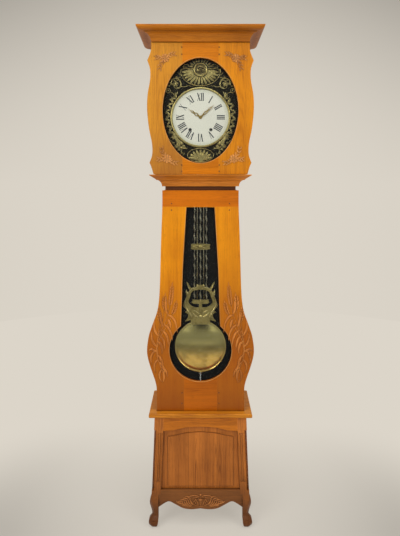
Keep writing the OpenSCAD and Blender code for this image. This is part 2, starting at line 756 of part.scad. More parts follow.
// Cage: two plates, four corner posts and three pairs of bars, with the bridge, dial feet and bell stand
corner = 10;
plate_lip = 1.5;
bars_x = [-wind_x, 0, wind_x];
post_r = 2.5;
minute_post_z = dial_cz + 36;
cock_w = 16;
bell_z = cage_top + 40;
bell_post_r = 3;
dial_feet = [for (sx = [-1, 1]) for (z = [cage_foot + 30, cage_top - 20]) [sx * (cage_w / 2 - corner / 2), z]];
module movement_cage() {
    color(iron) difference() {
        union() {
            for (z = [cage_foot, cage_top - plate_t])
                block([-cage_w / 2 - plate_lip, cage_y - plate_lip, z],
                      [cage_w / 2 + plate_lip, cage_back + plate_lip, z + plate_t]);
            for (sx = [-1, 1]) for (y = [cage_y, cage_back - corner])
                block([sx * (cage_w / 2 - corner / 2) - corner / 2, y, cage_foot],
                      [sx * (cage_w / 2 - corner / 2) + corner / 2, y + corner, cage_top]);
            for (x = bars_x) for (y = [cage_y, cage_back - bar_t])
                block([x - bar_w / 2, y, cage_foot], [x + bar_w / 2, y + bar_t, cage_top]);
            block([-cock_w / 2, pendulum_y - 7, cage_top - plate_t], [cock_w / 2, cage_y + 1, cage_top]);
            block([-cock_w / 2, pendulum_y - 7, pivot_z + 0.3], [cock_w / 2, pendulum_y + 7, cage_top]);
            bar_y(0, minute_post_z, motion_y - 34, cage_y + 1, post_r);
            for (p = dial_feet) bar_y(p[0], p[1], dial_back, cage_y + 1, 4);
            translate([0, cage_y + cage_d / 2, cage_top - 1]) cylinder(h = bell_z + bell_h + 9 - cage_top, r = bell_post_r);
        }
        for (z = [dial_cz, third_z, escape_z, pivot_z])
            bar_y(0, z, cage_y - 1, cage_back + 1, z == pivot_z || z == dial_cz ? arbor_r + fit : pivot_r + fit);
        for (z = [pin_wheel_z, fly_z, hammer_z])
            bar_y(-wind_x, z, cage_y - 1, cage_back + 1, pivot_r + fit);
        for (s = [-1, 1]) {
            bar_y(s * wind_x, wind_z, cage_y - 1, cage_back + 1, drum_arbor_r + fit);
            translate([weight_x(s), weight_y, cage_foot - 1]) cylinder(h = plate_t + 2, r = rope_slot_r);
        }
        block([-wind_x - 38, hammer_y - 8, cage_top - plate_t - 1], [-wind_x + 8, hammer_y + 8, cage_top + 1]);
    }
}

// Going train
drum_arbor_r = 4;
drum_y = strike_great_y + 6;
module drum(s, great_y, turn) {
    x = s * wind_x;
    wheel(x, wind_z, great_y, great_module, great_teeth, turn, drum_arbor_r + 8);
    bar_y(x, wind_z, dial_back - 1, cage_back, drum_arbor_r);
    bar_y(x, wind_z, drum_y, drum_y + drum_l, drum_r);
    for (y = [drum_y, drum_y + drum_l - 2]) bar_y(x, wind_z, y, y + 2, drum_r + 5);
}
module going_drum() {
    color(brass) union() {
        drum(1, going_great_y, 180 - mesh);
        bar_y(wind_x, wind_z, drum_y + drum_l - 1, going_great_y + 1, 9);
    }
}
module centre_wheel() {
    color(brass) union() {
        wheel(0, dial_cz, centre_wheel_y, centre_module, centre_teeth, 90, 8);
        pinion(0, dial_cz, going_great_y - 3, great_module, -mesh + half_gap);
        bar_y(0, dial_cz, dial_back - 12, cage_back, centre_arbor_r);
        bar_y(0, dial_cz, cage_y + bar_t + 0.5, cage_back - bar_t - 0.5, arbor_r + 1);
    }
}
centre_arbor_r = arbor_r;
module third_wheel() {
    color(brass) union() {
        wheel(0, third_z, third_wheel_y, third_module, third_teeth, 90, 7);
        pinion(0, third_z, centre_wheel_y - 3, centre_module, -90 + half_gap);
        arbor(0, third_z);
    }
}
module escape_wheel() {
    color(brass) union() {
        difference() {
            at_y(0, escape_z, escape_wheel_y) linear_extrude(wheel_t)
                polygon([for (i = [0 : escape_teeth - 1]) let (a = 90 + (i + 0.5) * 360 / escape_teeth, p = 360 / escape_teeth)
                    each [[(escape_r - 4.5) * cos(a - p * 0.4), (escape_r - 4.5) * sin(a - p * 0.4)],
                          [escape_r * cos(a), escape_r * sin(a)],
                          [(escape_r - 4.5) * cos(a + p * 0.15), (escape_r - 4.5) * sin(a + p * 0.15)]]]);
            at_y(0, escape_z, escape_wheel_y - 1) spoked(escape_r - 8, 6, 3, 4);
        }
        pinion(0, escape_z, third_wheel_y - 3, third_module, -90 + half_gap);
        arbor(0, escape_z);
    }
}
pallet_span = 52;
crutch_pin_z = pivot_z - 40;
crutch_y = cage_y - 7;
crutch_pin_r = 2;
module anchor() {
    color(steel) union() {
        bar_y(0, pivot_z, cage_y - 8, cage_back, arbor_r);
        at_y(0, pivot_z, escape_wheel_y - 1) linear_extrude(wheel_t + 2)
            polygon(both([[0, -6], [6, -6], [17, -9], [escape_r - 3.5, -13], [escape_r - 1, -12.5],
                          [escape_r + 1, -6], [14, 0], [6, 6], [0, 6]]));
        block([-3, crutch_y, crutch_pin_z - 4], [3, crutch_y + 3, pivot_z + 3]);
        bar_y(0, crutch_pin_z, pendulum_y - 4, crutch_y + 1, crutch_pin_r);
    }
}

// Striking train
module strike_drum() {
    color(brass) union() {
        drum(-1, strike_great_y, 90);
        bar_y(-wind_x, wind_z, strike_great_y + 1, drum_y + 1, 9);
    }
}
pin_l = 7;
module pin_wheel() {
    color(brass) union() {
        wheel(-wind_x, pin_wheel_z, pin_wheel_y, pin_wheel_module, pin_wheel_teeth, 90, 7);
        pinion(-wind_x, pin_wheel_z, strike_great_y - 3, great_module, -90 + half_gap);
        arbor(-wind_x, pin_wheel_z);
        for (k = [0 : 7])
            bar_y(-wind_x + (pin_wheel_module * pin_wheel_teeth / 2 - 3.5) * cos(k * 45 + 22.5),
                  pin_wheel_z + (pin_wheel_module * pin_wheel_teeth / 2 - 3.5) * sin(k * 45 + 22.5),
                  pin_wheel_y + 1, pin_wheel_y + wheel_t + pin_l - 4, 1.2);
    }
}
fly_r = 22;
module fly() {
    color(brass) union() {
        pinion(-wind_x, fly_z, pin_wheel_y - 3, pin_wheel_module, -90 + half_gap);
        arbor(-wind_x, fly_z);
        block([-wind_x - fly_r, fly_y, fly_z - 0.75], [-wind_x + fly_r, fly_y + 30, fly_z + 0.75]);
        bar_y(-wind_x, fly_z, fly_y, fly_y + 30, arbor_r + 1.5);
    }
}
hammer_y = cage_y + cage_d / 2;
hammer_head_z = bell_z + 6;
hammer_head_r = 7;
hammer_gap = 1.5;
module hammer() {
    head_x = -bell_r - hammer_gap;
    color(steel) union() {
        arbor(-wind_x, hammer_z);
        bar_y(-wind_x, hammer_z, hammer_y - 5, hammer_y + 5, arbor_r + 2);
        front_view(hammer_y - 2, hammer_y + 2)
            polygon([[-wind_x - 2, hammer_z], [-wind_x + 2, hammer_z], [head_x - 8, hammer_head_z],
                     [head_x - 12, hammer_head_z]]);
        translate([head_x, hammer_y, hammer_head_z]) rotate([0, -90, 0]) cylinder(h = 18, r = hammer_head_r);
    }
}
bell_t = 3;
module bell() {
    edge = [for (a = [0 : 9 : 90]) [bell_r * cos(a * 0.93), bell_h * sin(a)]];
    color(brass) translate([0, hammer_y, bell_z]) difference() {
        rotate_extrude() polygon(concat([[bell_r - bell_t, 0], [bell_r, 0]],
            [for (k = [1 : len(edge) - 2]) edge[k]], [[0, bell_h], [0, bell_h - bell_t]],
            [for (k = [len(edge) - 2 : -1 : 1]) [max(edge[k][0] - bell_t, 0), edge[k][1] - bell_t * sin(k * 9)]]));
        translate([0, 0, -1]) cylinder(h = bell_h + 2, r = bell_post_r + fit);
    }
}

// Weights and ropes
module weight(s) {
    color(iron) translate([weight_x(s), weight_y, weight_foot]) {
        rotate_extrude() polygon([[0, 0], [weight_r - 4, 0], [weight_r, 4], [weight_r, weight_l - 6],
                                  [weight_r - 6, weight_l], [0, weight_l]]);
        translate([0, 0, weight_l - 1]) cylinder(h = 9, r = 5);
        difference() {
            translate([0, 3, weight_l + 18]) rotate([90, 0, 0]) cylinder(h = 6, r = 13);
            translate([0, 4, weight_l + 18]) rotate([90, 0, 0]) cylinder(h = 8, r = 8);
        }
        translate([0, 0, weight_l + 27]) cylinder(h = hook_h - 27, r = 4);
    }
}
module rope(s) {
    color("#8a7a5c") translate([weight_x(s), weight_y, rope_foot])
        cylinder(h = wind_z - rope_foot, r = rope_r);
}

// Motion work, hands and dial
hour_pipe_r = 6;
cannon_r = 3.6;
hour_wheel_y = motion_y - 12;
minute_wheel_y = motion_y - 24;
minute_module = 36 / 30;
hour_module = 1;
hand_t = 1;
hour_hand_y = dial_back - 9;
minute_hand_y = dial_back - 12;
hour_angle = 90 - 304;
minute_angle = 90 - 48;
// A pierced, serpentine hand, pointing along +X
module hand_shape(l, w) {
    difference() {
        polygon(concat([[0, -3]], smooth([[l * 0.18, -w * 0.5], [l * 0.34, -w], [l * 0.5, -w * 0.45],
            [l * 0.66, -w * 0.7], [l * 0.8, -1.2], [l, 0], [l * 0.8, 1.2], [l * 0.66, w * 0.7], [l * 0.5, w * 0.45],
            [l * 0.34, w], [l * 0.18, w * 0.5]]), [[0, 3]]));
        polygon(smooth([[l * 0.24, 0], [l * 0.34, -w * 0.55], [l * 0.44, 0], [l * 0.34, w * 0.55], [l * 0.24, 0]]));
        polygon(smooth([[l * 0.58, 0], [l * 0.66, -w * 0.35], [l * 0.74, 0], [l * 0.66, w * 0.35], [l * 0.58, 0]]));
    }
}
module hour_hand() {
    color(brass) difference() {
        union() {
            at_y(0, dial_cz, hour_hand_y) {
                rotate([0, 0, hour_angle]) linear_extrude(hand_t) hand_shape(hour_hand_l, 8);
                cylinder(h = hand_t, r = 8);
            }
            bar_y(0, dial_cz, hour_hand_y, hour_wheel_y + wheel_t, hour_pipe_r);
            at_y(0, dial_cz, hour_wheel_y) toothed(hour_module, 64, 0.42, 90, wheel_t);
        }
        bar_y(0, dial_cz, hour_hand_y - 1, hour_wheel_y + 8, cannon_r + fit);
    }
}
module minute_hand() {
    color(brass) difference() {
        union() {
            at_y(0, dial_cz, minute_hand_y) {
                rotate([0, 0, minute_angle]) linear_extrude(hand_t) hand_shape(minute_hand_l, 6.5);
                cylinder(h = hand_t, r = 6);
            }
            bar_y(0, dial_cz, minute_hand_y, motion_y, cannon_r);
            at_y(0, dial_cz, motion_y - 6) toothed(minute_module, 24, 0.42, 90, 5);
        }
        bar_y(0, dial_cz, minute_hand_y - 1, motion_y + 1, centre_arbor_r + fit);
    }
}
module minute_wheel() {
    color(brass) difference() {
        union() {
            at_y(0, minute_post_z, motion_y - 5) toothed(minute_module, 36, 0.42, -90 + 5, wheel_t);
            at_y(0, minute_post_z, hour_wheel_y - 2) toothed(hour_module, 8, 0.33, -90 + 22.5, motion_y - hour_wheel_y);
        }
        bar_y(0, minute_post_z, motion_y - 50, motion_y + 1, post_r + fit);
    }
}
module dial() {
    color(enamel) difference() {
        translate([0, dial_back - 2, dial_cz]) rotate([90, 0, 0]) rotate_extrude($fn = 96)
            polygon(concat([[0, 0], [dial_r, 0]], [for (k = [0 : 8]) let (r = dial_r * cos(k * 11.25))
                [r, dial_t + dial_dome * (1 - (r / dial_r) * (r / dial_r))]]));
        bar_y(0, dial_cz, dial_back - 12, dial_back + 1, hour_pipe_r + 1);
        for (s = [-1, 1]) bar_y(s * wind_x, wind_z, dial_back - 12, dial_back + 1, wind_r);
    }
}
boss_z = dial_cz + boss_rise;
shell_z = dial_cz - shell_drop;
sheet_t = 2;
plate_y = dial_back - sheet_t;
// One lobe of the relief, from the middle at its foot along +X
module lobe(l, w, h) {
    translate([0, 0, -1]) linear_extrude(h + 1)
        polygon([[0, -w * 0.22], [l * 0.4, -w * 0.48], [l * 0.8, -w * 0.44], [l * 0.96, -w * 0.2], [l, 0],
                 [l * 0.96, w * 0.2], [l * 0.8, w * 0.44], [l * 0.4, w * 0.48], [0, w * 0.22]]);
}
// Stands a piece of the relief on the plate, at x and z, turned by a
module on_plate(x, z, a) {
    translate([x, plate_y, z]) rotate([90, 0, 0]) rotate([0, 0, a]) children();
}
// A band along a smooth line
module band(path, w, h) {
    p = smooth(path, 3);
    n = len(p) - 1;
    side = [for (i = [0 : n]) let (d = p[min(i + 1, n)] - p[max(i - 1, 0)]) [-d[1], d[0]] / norm(d) * w / 2];
    translate([0, 0, -1]) linear_extrude(h + 1)
        polygon(concat([for (i = [0 : n]) p[i] + side[i]], [for (i = [n : -1 : 0]) p[i] - side[i]]));
}
// A ring on the plate
module raised_ring(x, z, r, w, h) {
    difference() {
        bar_y(x, z, plate_y - h, plate_y + 1, r);
        bar_y(x, z, plate_y - h - 1, plate_y, r - w);
    }
}
fan_z = boss_z - 4;
fan_d = fan_z - (dial_cz + dial_r + bezel_w + 5);
function fan_edge(a, l) = [l * fan_w * cos(a), fan_z - l * fan_d * sin(a)];
module fan() {
    front_view(plate_y - 2.5, plate_y + 1)
        polygon(concat([for (k = [0 : 28]) fan_edge(180 * k / 28, 1 - (k % 2) * 0.04)]));
    for (k = [0 : 13]) {
        a = 180 * (k + 0.5) / 14;
        q = fan_edge(a, 0.97);
        f = [(boss_r - 3) * cos(a), boss_z - (boss_r - 3) * sin(a)];
        on_plate(f[0], f[1], atan2(q[1] - f[1], q[0] - f[0])) lobe(norm(q - f), 15 - 5 * sin(a), 4.5 + k % 2);
    }
}
module shell() {
    front_view(plate_y - 2.5, plate_y + 1)
        polygon([for (k = [0 : 35]) let (a = 10 * k, l = 1 - (k % 2) * 0.05)
            [shell_w * l * cos(a), shell_z + shell_w * 0.53 * l * sin(a)]]);
    for (k = [0 : 8]) {
        a = 10 + 20 * k;
        f = [shell_w * 0.12 * cos(a), shell_z - shell_w * 0.38];
        q = [shell_w * 0.95 * cos(a), shell_z - shell_w * 0.3 + shell_w * 0.8 * sin(a)];
        on_plate(f[0], f[1], atan2(q[1] - f[1], q[0] - f[0])) lobe(norm(q - f), 14 - 3 * sin(a), 4.5 + k % 2);
    }
    bar_y(0, shell_z - shell_w * 0.38, plate_y - 7.5, plate_y + 1, shell_w * 0.18);
}
rim_r = dial_r + bezel_w;
module foliage() {
    // The scroll at the shoulder, its flower and the roundel beside it
    on_plate(0, 0, 0) band([[136, dial_cz + 146], [131, dial_cz + 168], [114, dial_cz + 178], [97, dial_cz + 170],
        [89, dial_cz + 152], [94, dial_cz + 136], [108, dial_cz + 132]], 6, 6);
    for (k = [0 : 4]) on_plate(114, dial_cz + 152, 72 * k + 18) lobe(15, 10, 3.6 + k * 0.25);
    bar_y(114, dial_cz + 152, plate_y - 6.5, plate_y + 1, 5);
    raised_ring(147, dial_cz + 122, 11, 3.5, 5);
    bar_y(147, dial_cz + 122, plate_y - 4, plate_y + 1, 4);
    // Leaves along the rim of the dial, in pairs
    for (k = [0 : 8]) {
        a = -54 + 11.5 * k;
        for (s = [-1, 1])
            on_plate((rim_r + 1) * cos(a), dial_cz + (rim_r + 1) * sin(a), a + s * (s > 0 ? 42 : 30))
                lobe(s > 0 ? 20 : 17, 9, (s > 0 ? 5 : 3.6) + k % 2 * 0.5);
    }
    // The broad leaf at the lower shoulder and the scroll to the shell
    on_plate(92, dial_cz - 112, -52) lobe(34, 17, 5.5);
    on_plate(72, dial_cz - 126, -48) lobe(30, 14, 4.2);
    on_plate(0, 0, 0) band([[60, dial_cz - 141], [84, dial_cz - 140], [100, dial_cz - 124], [110, dial_cz - 104]], 5, 6.5);
    // Blades above the fan
    for (k = [0 : 3]) on_plate(20 + 13 * k, boss_z + 20 - 4 * k, 72 - 19 * k) lobe(26 - 2 * k, 9, 3.4 + k % 2 * 0.8);
}
module dial_surround() {
    r = dial_r;
    w = surround_w / 2;
    mid = hood_z + oval_z;
    color(brass) difference() {
        union() {
            front_view(plate_y, dial_back)
                polygon(both(smooth([[0, mid - surround_h / 2], [60, mid - surround_h / 2 + 6],
                    [110, mid - surround_h / 2 + 44], [w - 18, mid - 120], [w, mid - 30], [w, mid + 40],
                    [w - 14, mid + 120], [112, mid + surround_h / 2 - 50], [60, mid + surround_h / 2 - 12],
                    [0, mid + surround_h / 2]])));
            translate([0, dial_back - 1, dial_cz]) rotate([90, 0, 0]) rotate_extrude($fn = 96)
                polygon([[r + 0.3, 0], [r + bezel_w, 0], [r + bezel_w, 4], [r + bezel_w * 0.75, 7.5],
                         [r + bezel_w * 0.45, 8.5], [r + 0.3, 7]]);
            fan();
            shell();
            foliage();
            mirror([1, 0, 0]) foliage();
            bar_y(0, boss_z, plate_y - 6, plate_y + 1, boss_r);
            raised_ring(0, boss_z, boss_r, 5, 9);
            bar_y(0, boss_z, plate_y - 10, plate_y, boss_r / 3);
        }
        bar_y(0, dial_cz, dial_back - 20, plate_y - eps, r + 0.3);
        bar_y(0, dial_cz, dial_back - 20, dial_back + 1, hour_pipe_r + 1);
        for (s = [-1, 1]) bar_y(s * wind_x, wind_z, dial_back - 20, dial_back + 1, wind_r);
    }
}

// Pendulum
rod_foot = bob_z + bob_r + lyre_h - 82;
rod_top = pivot_z - 33;
bar_d = strip_w + 3.2;
strip_reach = strip_w / 2;
// Each rod: its place, its top and whether it is a twisted strip
rods = [[-outer_rod_x, rod_top, true], [-inner_rod_x, rod_top, false], [0, wind_z, true],
        [inner_rod_x, rod_top, false], [outer_rod_x, rod_top, true]];
module twisted_strip(x, top) {
    l = top - rod_foot;
    translate([x, pendulum_y, rod_foot])
        linear_extrude(height = l, twist = 360 * l / strip_pitch, slices = round(8 * l / strip_pitch), $fn = 4)
            square([strip_w, strip_t], center = true);
}
module pendulum_rods() {
    color(brass) for (p = rods)
        if (p[2]) twisted_strip(p[0], p[1]);
        else translate([p[0], pendulum_y, rod_foot]) cylinder(h = p[1] - rod_foot, r = rod_r);
}
// The holes that the rods pass through, up to a height
module rod_holes(top) {
    for (p = rods) if (p[1] > wind_z || top <= wind_z)
        translate([p[0], pendulum_y, rod_foot]) cylinder(h = top - rod_foot, r = (p[2] ? strip_reach : rod_r) + fit);
}
module rod_bar(z, half, h, edge) {
    front_view(pendulum_y - bar_d / 2, pendulum_y + bar_d / 2)
        polygon(both(concat([[0, z - h / 2]], smooth([[half * 0.7, z - h / 2 + 1], [half, z - h * edge / 2],
            [half * 0.93, z], [half, z + h * edge / 2], [half * 0.7, z + h / 2 - 1]], 3), [[0, z + h / 2]])));
}
spring_w = 5;
module pendulum_bars() {
    color(brass) {
        difference() {
            union() {
                rod_bar(rod_top - 7, outer_rod_x + 9, 16, 0.6);
                block([-0.4, pendulum_y - spring_w, rod_top], [0.4, pendulum_y + spring_w, pivot_z]);
                block([-4, pendulum_y - 3.5, rod_top], [4, pendulum_y + 3.5, rod_top + 9]);
            }
            rod_holes(rod_top);
            bar_y(0, crutch_pin_z, pendulum_y - 9, pendulum_y + 9, crutch_pin_r + 0.3);
        }
        difference() {
            rod_bar(wind_z - 7, outer_rod_x + 8, 14, 0.7);
            rod_holes(wind_z);
        }
        difference() {
            rod_bar(waist_z + crossbar_rise, outer_rod_x + 17, 28, 0.7);
            rod_holes(wind_z);
        }
    }
}
lyre_y = pendulum_y - strip_reach - lyre_t - 0.3;
module pendulum_lyre() {
    b = bob_z + bob_r;
    color(brass) union() {
        difference() {
            union() {
                front_view(lyre_y, lyre_y + lyre_t)
                    polygon(both(concat([[0, b - 18], [44, b - 18]], smooth([[45, b + 4], [72, b - 4], [60, b + 12],
                        [58, b + 30], [72, b + 40], [60, b + 48], [77, b + 62], [79, b + 75], [72, b + 96],
                        [64, b + 112], [68, b + 122], [66, b + 140], [57, b + 132], [52, b + 152],
                        [66, b + lyre_h], [58, b + lyre_h - 4], [46, b + lyre_h - 24], [34, b + 150], [16, b + 158],
                        [0, b + 168]], 3))));
                for (s = [-1, 1]) bar_y(s * 14, b + 162, lyre_y, lyre_y + lyre_t, 7);
            }
            front_view(lyre_y - 1, lyre_y + lyre_t + 1)
                polygon(both(smooth([[0, b + 62], [24, b + 62], [46, b + 72], [56, b + 88], [48, b + 112],
                    [40, b + 134], [20, b + 142], [0, b + 144]], 4)));
        }
        front_view(lyre_y, pendulum_y + strip_reach)
            polygon(both([[0, rod_foot - 20], [34, rod_foot - 18], [41, rod_foot - 12], [37, rod_foot - 6], [40, rod_foot],
                          [0, rod_foot]]));
        front_view(lyre_y, lyre_y + lyre_t) polygon(both([[0, b + 58], [8, b + 58], [6, rod_foot - 10], [0, rod_foot - 10]]));
        translate([0, pendulum_y, stem_foot]) cylinder(h = b + 30 - stem_foot, r = stem_r);
        block([-6, lyre_y, b + 8], [6, pendulum_y, b + 30]);
    }
}
stem_r = 3;
stem_foot = bob_z - bob_r - 44;
module pendulum_bob() {
    color(brass) difference() {
        translate([0, pendulum_y, bob_z]) rotate([90, 0, 0]) rotate_extrude($fn = 96)
            polygon(concat([for (k = [0 : 8]) let (r = bob_r * sin(k * 11.25))
                [r, 2 + (bob_t / 2 - 2) * (1 - (r / bob_r) * (r / bob_r))]],
                [for (k = [8 : -1 : 0]) let (r = bob_r * sin(k * 11.25))
                [r, -2 - (bob_t / 2 - 2) * (1 - (r / bob_r) * (r / bob_r))]]));
        translate([0, pendulum_y, bob_z - bob_r - 2]) cylinder(h = 2 * bob_r + 4, r = stem_r + fit);
        block([-50, lyre_y - 20, bob_z + bob_r - 19], [50, lyre_y + lyre_t + 0.2, bob_z + bob_r + 1]);
    }
}
nut_h = 7;
module rating_nut() {
    color(steel) difference() {
        translate([0, pendulum_y, bob_z - bob_r - nut_h]) cylinder(h = nut_h, r = 10);
        translate([0, pendulum_y, bob_z - bob_r - nut_h - 1]) cylinder(h = nut_h + 2, r = stem_r + fit);
    }
}

cornice();
hood_top();
hood_side(-1);  // hood_side_left
hood_side(1);  // hood_side_right
hood_back();
hood_moulding();
neck();
cheeks();
seatboard();
waist_side(-1);  // waist_side_left
waist_side(1);  // waist_side_right
waist_back();
base_cap();
base_top_rail();
base_apron();
base_panel();
base_side(-1);  // base_side_left
base_side(1);  // base_side_right
base_back();
base_floor();
front_legs();
rear_legs();
case_hinges();
hood_stile(-1);  // hood_stile_left
hood_stile(1);  // hood_stile_right
hood_rail_top();
hood_rail_bottom();
hood_glass();
hood_door_hinges();
waist_stile(-1);  // waist_stile_left
waist_stile(1);  // waist_stile_right
waist_rail_top();
waist_rail_bottom();
waist_glass();
waist_door_hinges();
movement_cage();
dial_surround();
dial();
bell();
hour_hand();
minute_hand();
minute_wheel();
going_drum();
centre_wheel();
third_wheel();
escape_wheel();
anchor();
rope(1);  // going_rope
weight(1);  // going_weight
strike_drum();
pin_wheel();
fly();
hammer();
rope(-1);  // strike_rope
weight(-1);  // strike_weight
pendulum_rods();
pendulum_bars();
pendulum_lyre();
pendulum_bob();
rating_nut();
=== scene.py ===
import json
import math

import bmesh
import bpy
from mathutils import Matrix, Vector


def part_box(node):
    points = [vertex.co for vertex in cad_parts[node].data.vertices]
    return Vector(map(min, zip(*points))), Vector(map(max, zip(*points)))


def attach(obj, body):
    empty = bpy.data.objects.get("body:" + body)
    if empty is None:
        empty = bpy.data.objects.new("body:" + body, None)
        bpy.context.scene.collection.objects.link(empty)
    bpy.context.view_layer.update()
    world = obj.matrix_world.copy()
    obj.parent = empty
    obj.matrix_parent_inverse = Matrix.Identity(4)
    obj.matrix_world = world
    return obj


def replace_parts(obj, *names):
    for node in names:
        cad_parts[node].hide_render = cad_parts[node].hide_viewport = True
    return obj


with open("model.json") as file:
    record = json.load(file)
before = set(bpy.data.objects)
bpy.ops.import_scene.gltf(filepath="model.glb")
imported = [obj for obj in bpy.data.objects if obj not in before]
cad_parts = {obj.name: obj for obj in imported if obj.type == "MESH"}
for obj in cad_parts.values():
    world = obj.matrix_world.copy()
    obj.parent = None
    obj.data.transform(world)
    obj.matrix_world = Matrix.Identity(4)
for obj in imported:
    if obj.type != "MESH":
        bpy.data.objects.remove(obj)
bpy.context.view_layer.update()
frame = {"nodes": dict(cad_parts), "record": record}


# The studio: a pale floor that runs into a pale wall of light, with soft boxes left, right and overhead.
# The camera stands 2.33 m in front of the clock, level with the foot of its hood, and looks straight at it.
class Wire:
    """One socket of a finish: sums and products of it add the nodes that work them out."""

    def __init__(self, finish, socket):
        self.finish = finish
        self.socket = socket

    def maths(self, operation, *others):
        return self.finish.node("ShaderNodeMath", {"operation": operation}, [self, *others])

    def __add__(self, other):
        return self.maths("ADD", other)

    def __sub__(self, other):
        return self.maths("SUBTRACT", other)

    def __rsub__(self, other):
        return self.finish.node("ShaderNodeMath", {"operation": "SUBTRACT"}, [other, self])

    def __mul__(self, other):
        return self.maths("MULTIPLY", other)

    def __truediv__(self, other):
        return self.maths("DIVIDE", other)

    def __pow__(self, other):
        return self.maths("POWER", other)

    __radd__ = __add__
    __rmul__ = __mul__

    def between(self, low, high, bottom=0.0, top=1.0):
        return self.finish.node("ShaderNodeMapRange", {"interpolation_type": "SMOOTHSTEP"},
                                [self, low, high, bottom, top])

    def within(self, low, from_, to, high):
        """1 from one number to another, and fading to 0 on both sides."""
        return self.between(low, from_) * (1 - self.between(to, high))


class Finish:
    """A material or a world: its nodes are asked for by kind, settings and inputs."""

    def __init__(self, name, owner=None):
        self.material = owner or bpy.data.materials.new(name)
        self.material.use_nodes = True
        self.tree = self.material.node_tree
        self.tree.nodes.clear()

    def node(self, kind, settings=None, inputs=None, out=0):
        made = self.tree.nodes.new(kind)
        for key, value in (settings or {}).items():
            setattr(made, key, value)
        pairs = inputs.items() if isinstance(inputs, dict) else enumerate(inputs or [])
        for key, value in pairs:
            if isinstance(value, Wire):
                self.tree.links.new(value.socket, made.inputs[key])
            else:
                made.inputs[key].default_value = value
        return Wire(self, made.outputs[out]) if made.outputs else None

    def mix(self, factor, first, second):
        return self.node("ShaderNodeMix", {"data_type": "RGBA"}, {0: factor, 6: first, 7: second}, 2)

    def place(self):
        return self.node("ShaderNodeTexCoord", out="Object")

    def axis(self, vector, letter):
        return self.node("ShaderNodeSeparateXYZ", None, [vector], letter)

    def joined(self, *parts):
        return self.node("ShaderNodeCombineXYZ", None, parts)

    def ray(self, kind):
        return self.node("ShaderNodeLightPath", out=f"Is {kind} Ray")

    def shifted(self, place, shift, scale=1.0):
        return self.node("ShaderNodeMapping", None, {"Vector": place, "Location": shift,
                                                     "Scale": (scale,) * 3})

    def mottle(self, vector, scale=1.0, detail=2.0, rough=0.5):
        return self.node("ShaderNodeTexNoise", None, {"Vector": vector, "Scale": scale, "Detail": detail,
                                                      "Roughness": rough})

    def edges(self, radius):
        """A normal that rounds the edges over, and how much of an edge a place is."""
        rounded = self.node("ShaderNodeBevel", {"samples": 4}, {"Radius": radius})
        plain = self.node("ShaderNodeNewGeometry", out="Normal")
        across = self.node("ShaderNodeVectorMath", {"operation": "DOT_PRODUCT"}, [rounded, plain], "Value")
        return rounded, (1 - across).between(0.02, 0.25)

    def hollow(self, reach):
        """How deep in a hollow a place lies, by what stands around it within a reach."""
        return 1 - self.node("ShaderNodeAmbientOcclusion", {"samples": 6}, {"Distance": reach}, "AO")

    def bump(self, strength, depth, height, **more):
        return self.node("ShaderNodeBump", None, {"Strength": strength, "Distance": depth, "Height": height,
                                                  **more})

    def body(self, colour, rough, **more):
        inputs = {"Base Color": colour, "Roughness": rough}
        inputs.update({key.replace("_", " "): value for key, value in more.items()})
        return self.show(self.node("ShaderNodeBsdfPrincipled", None, inputs))

    def show(self, shader):
        self.node("ShaderNodeOutputMaterial", None, [shader])
        return self.material


def tone(red, green, blue):
    """A colour as a screen shows it, in the numbers that a shader takes."""
    parts = [c / 255 for c in (red, green, blue)]
    return tuple(c / 12.92 if c < 0.04045 else ((c + 0.055) / 1.055) ** 2.4 for c in parts) + (1.0,)


def shaded(colour, by, lift=0.0):
    """A colour made darker or lighter by a factor."""
    return tuple(min(1.0, c * by + lift) for c in colour[:3]) + (1.0,)


scene = bpy.context.scene
camera = bpy.data.objects.new("camera", bpy.data.cameras.new("camera"))
scene.collection.objects.link(camera)
camera.location = (0, -2.3325, 1.555)
camera.rotation_euler = (math.radians(90), 0, 0)
camera.data.lens = 33.515
camera.data.sensor_width = 36
camera.data.shift_x = -0.0009
camera.data.shift_y = -0.1567
camera.data.clip_start = 0.01
scene.camera = camera
scene.view_settings.view_transform = "Standard"

black = (0, 0, 0, 1)
wall_tone = tone(220, 213, 201)
sky = Finish("sky", bpy.data.worlds.new("sky"))
scene.world = sky.material
direction = sky.node("ShaderNodeTexCoord", out="Generated")
aside, toward, height = [sky.axis(direction, letter) for letter in "XYZ"]
climb = height / (aside * aside + toward * toward).maths("SQRT")
above = (climb - 0.07).maths("MAXIMUM", 0.0)
spread = aside * aside * toward.between(0.5, 0.8)
# Painted shade: the backdrop that the camera sees is painted darker towards the top and out to the sides.
painted_backdrop_shade = above * above * 2.8 + spread * (climb.maths("MAXIMUM", 0.0) * 4.2 + 0.25)
seen = sky.mix(painted_backdrop_shade.maths("MINIMUM", 0.7), wall_tone, black)
front = 0 - toward
dark_band = front.between(0.80, 0.93) * (1 - (height - 0.13).maths("ABSOLUTE").between(0.05, 0.12))
windows = aside.maths("ABSOLUTE").within(0.17, 0.22, 0.36, 0.42) * front.between(0.5, 0.6)
windows = windows * height.within(-0.02, 0.02, 0.28, 0.34)
card_tone = (0.07, 0.065, 0.055, 1)
window_tone = (1.9, 1.85, 1.7, 1)
room = sky.mix(windows, sky.mix(dark_band, (0.70, 0.69, 0.67, 1), card_tone), window_tone)
backdrop = sky.node("ShaderNodeBackground", None, [seen, 1.0])
lighting = sky.node("ShaderNodeBackground", None, [room, 0.55])
both = sky.node("ShaderNodeMixShader", None, [sky.ray("Camera"), lighting, backdrop])
sky.node("ShaderNodeOutputWorld", None, [both])

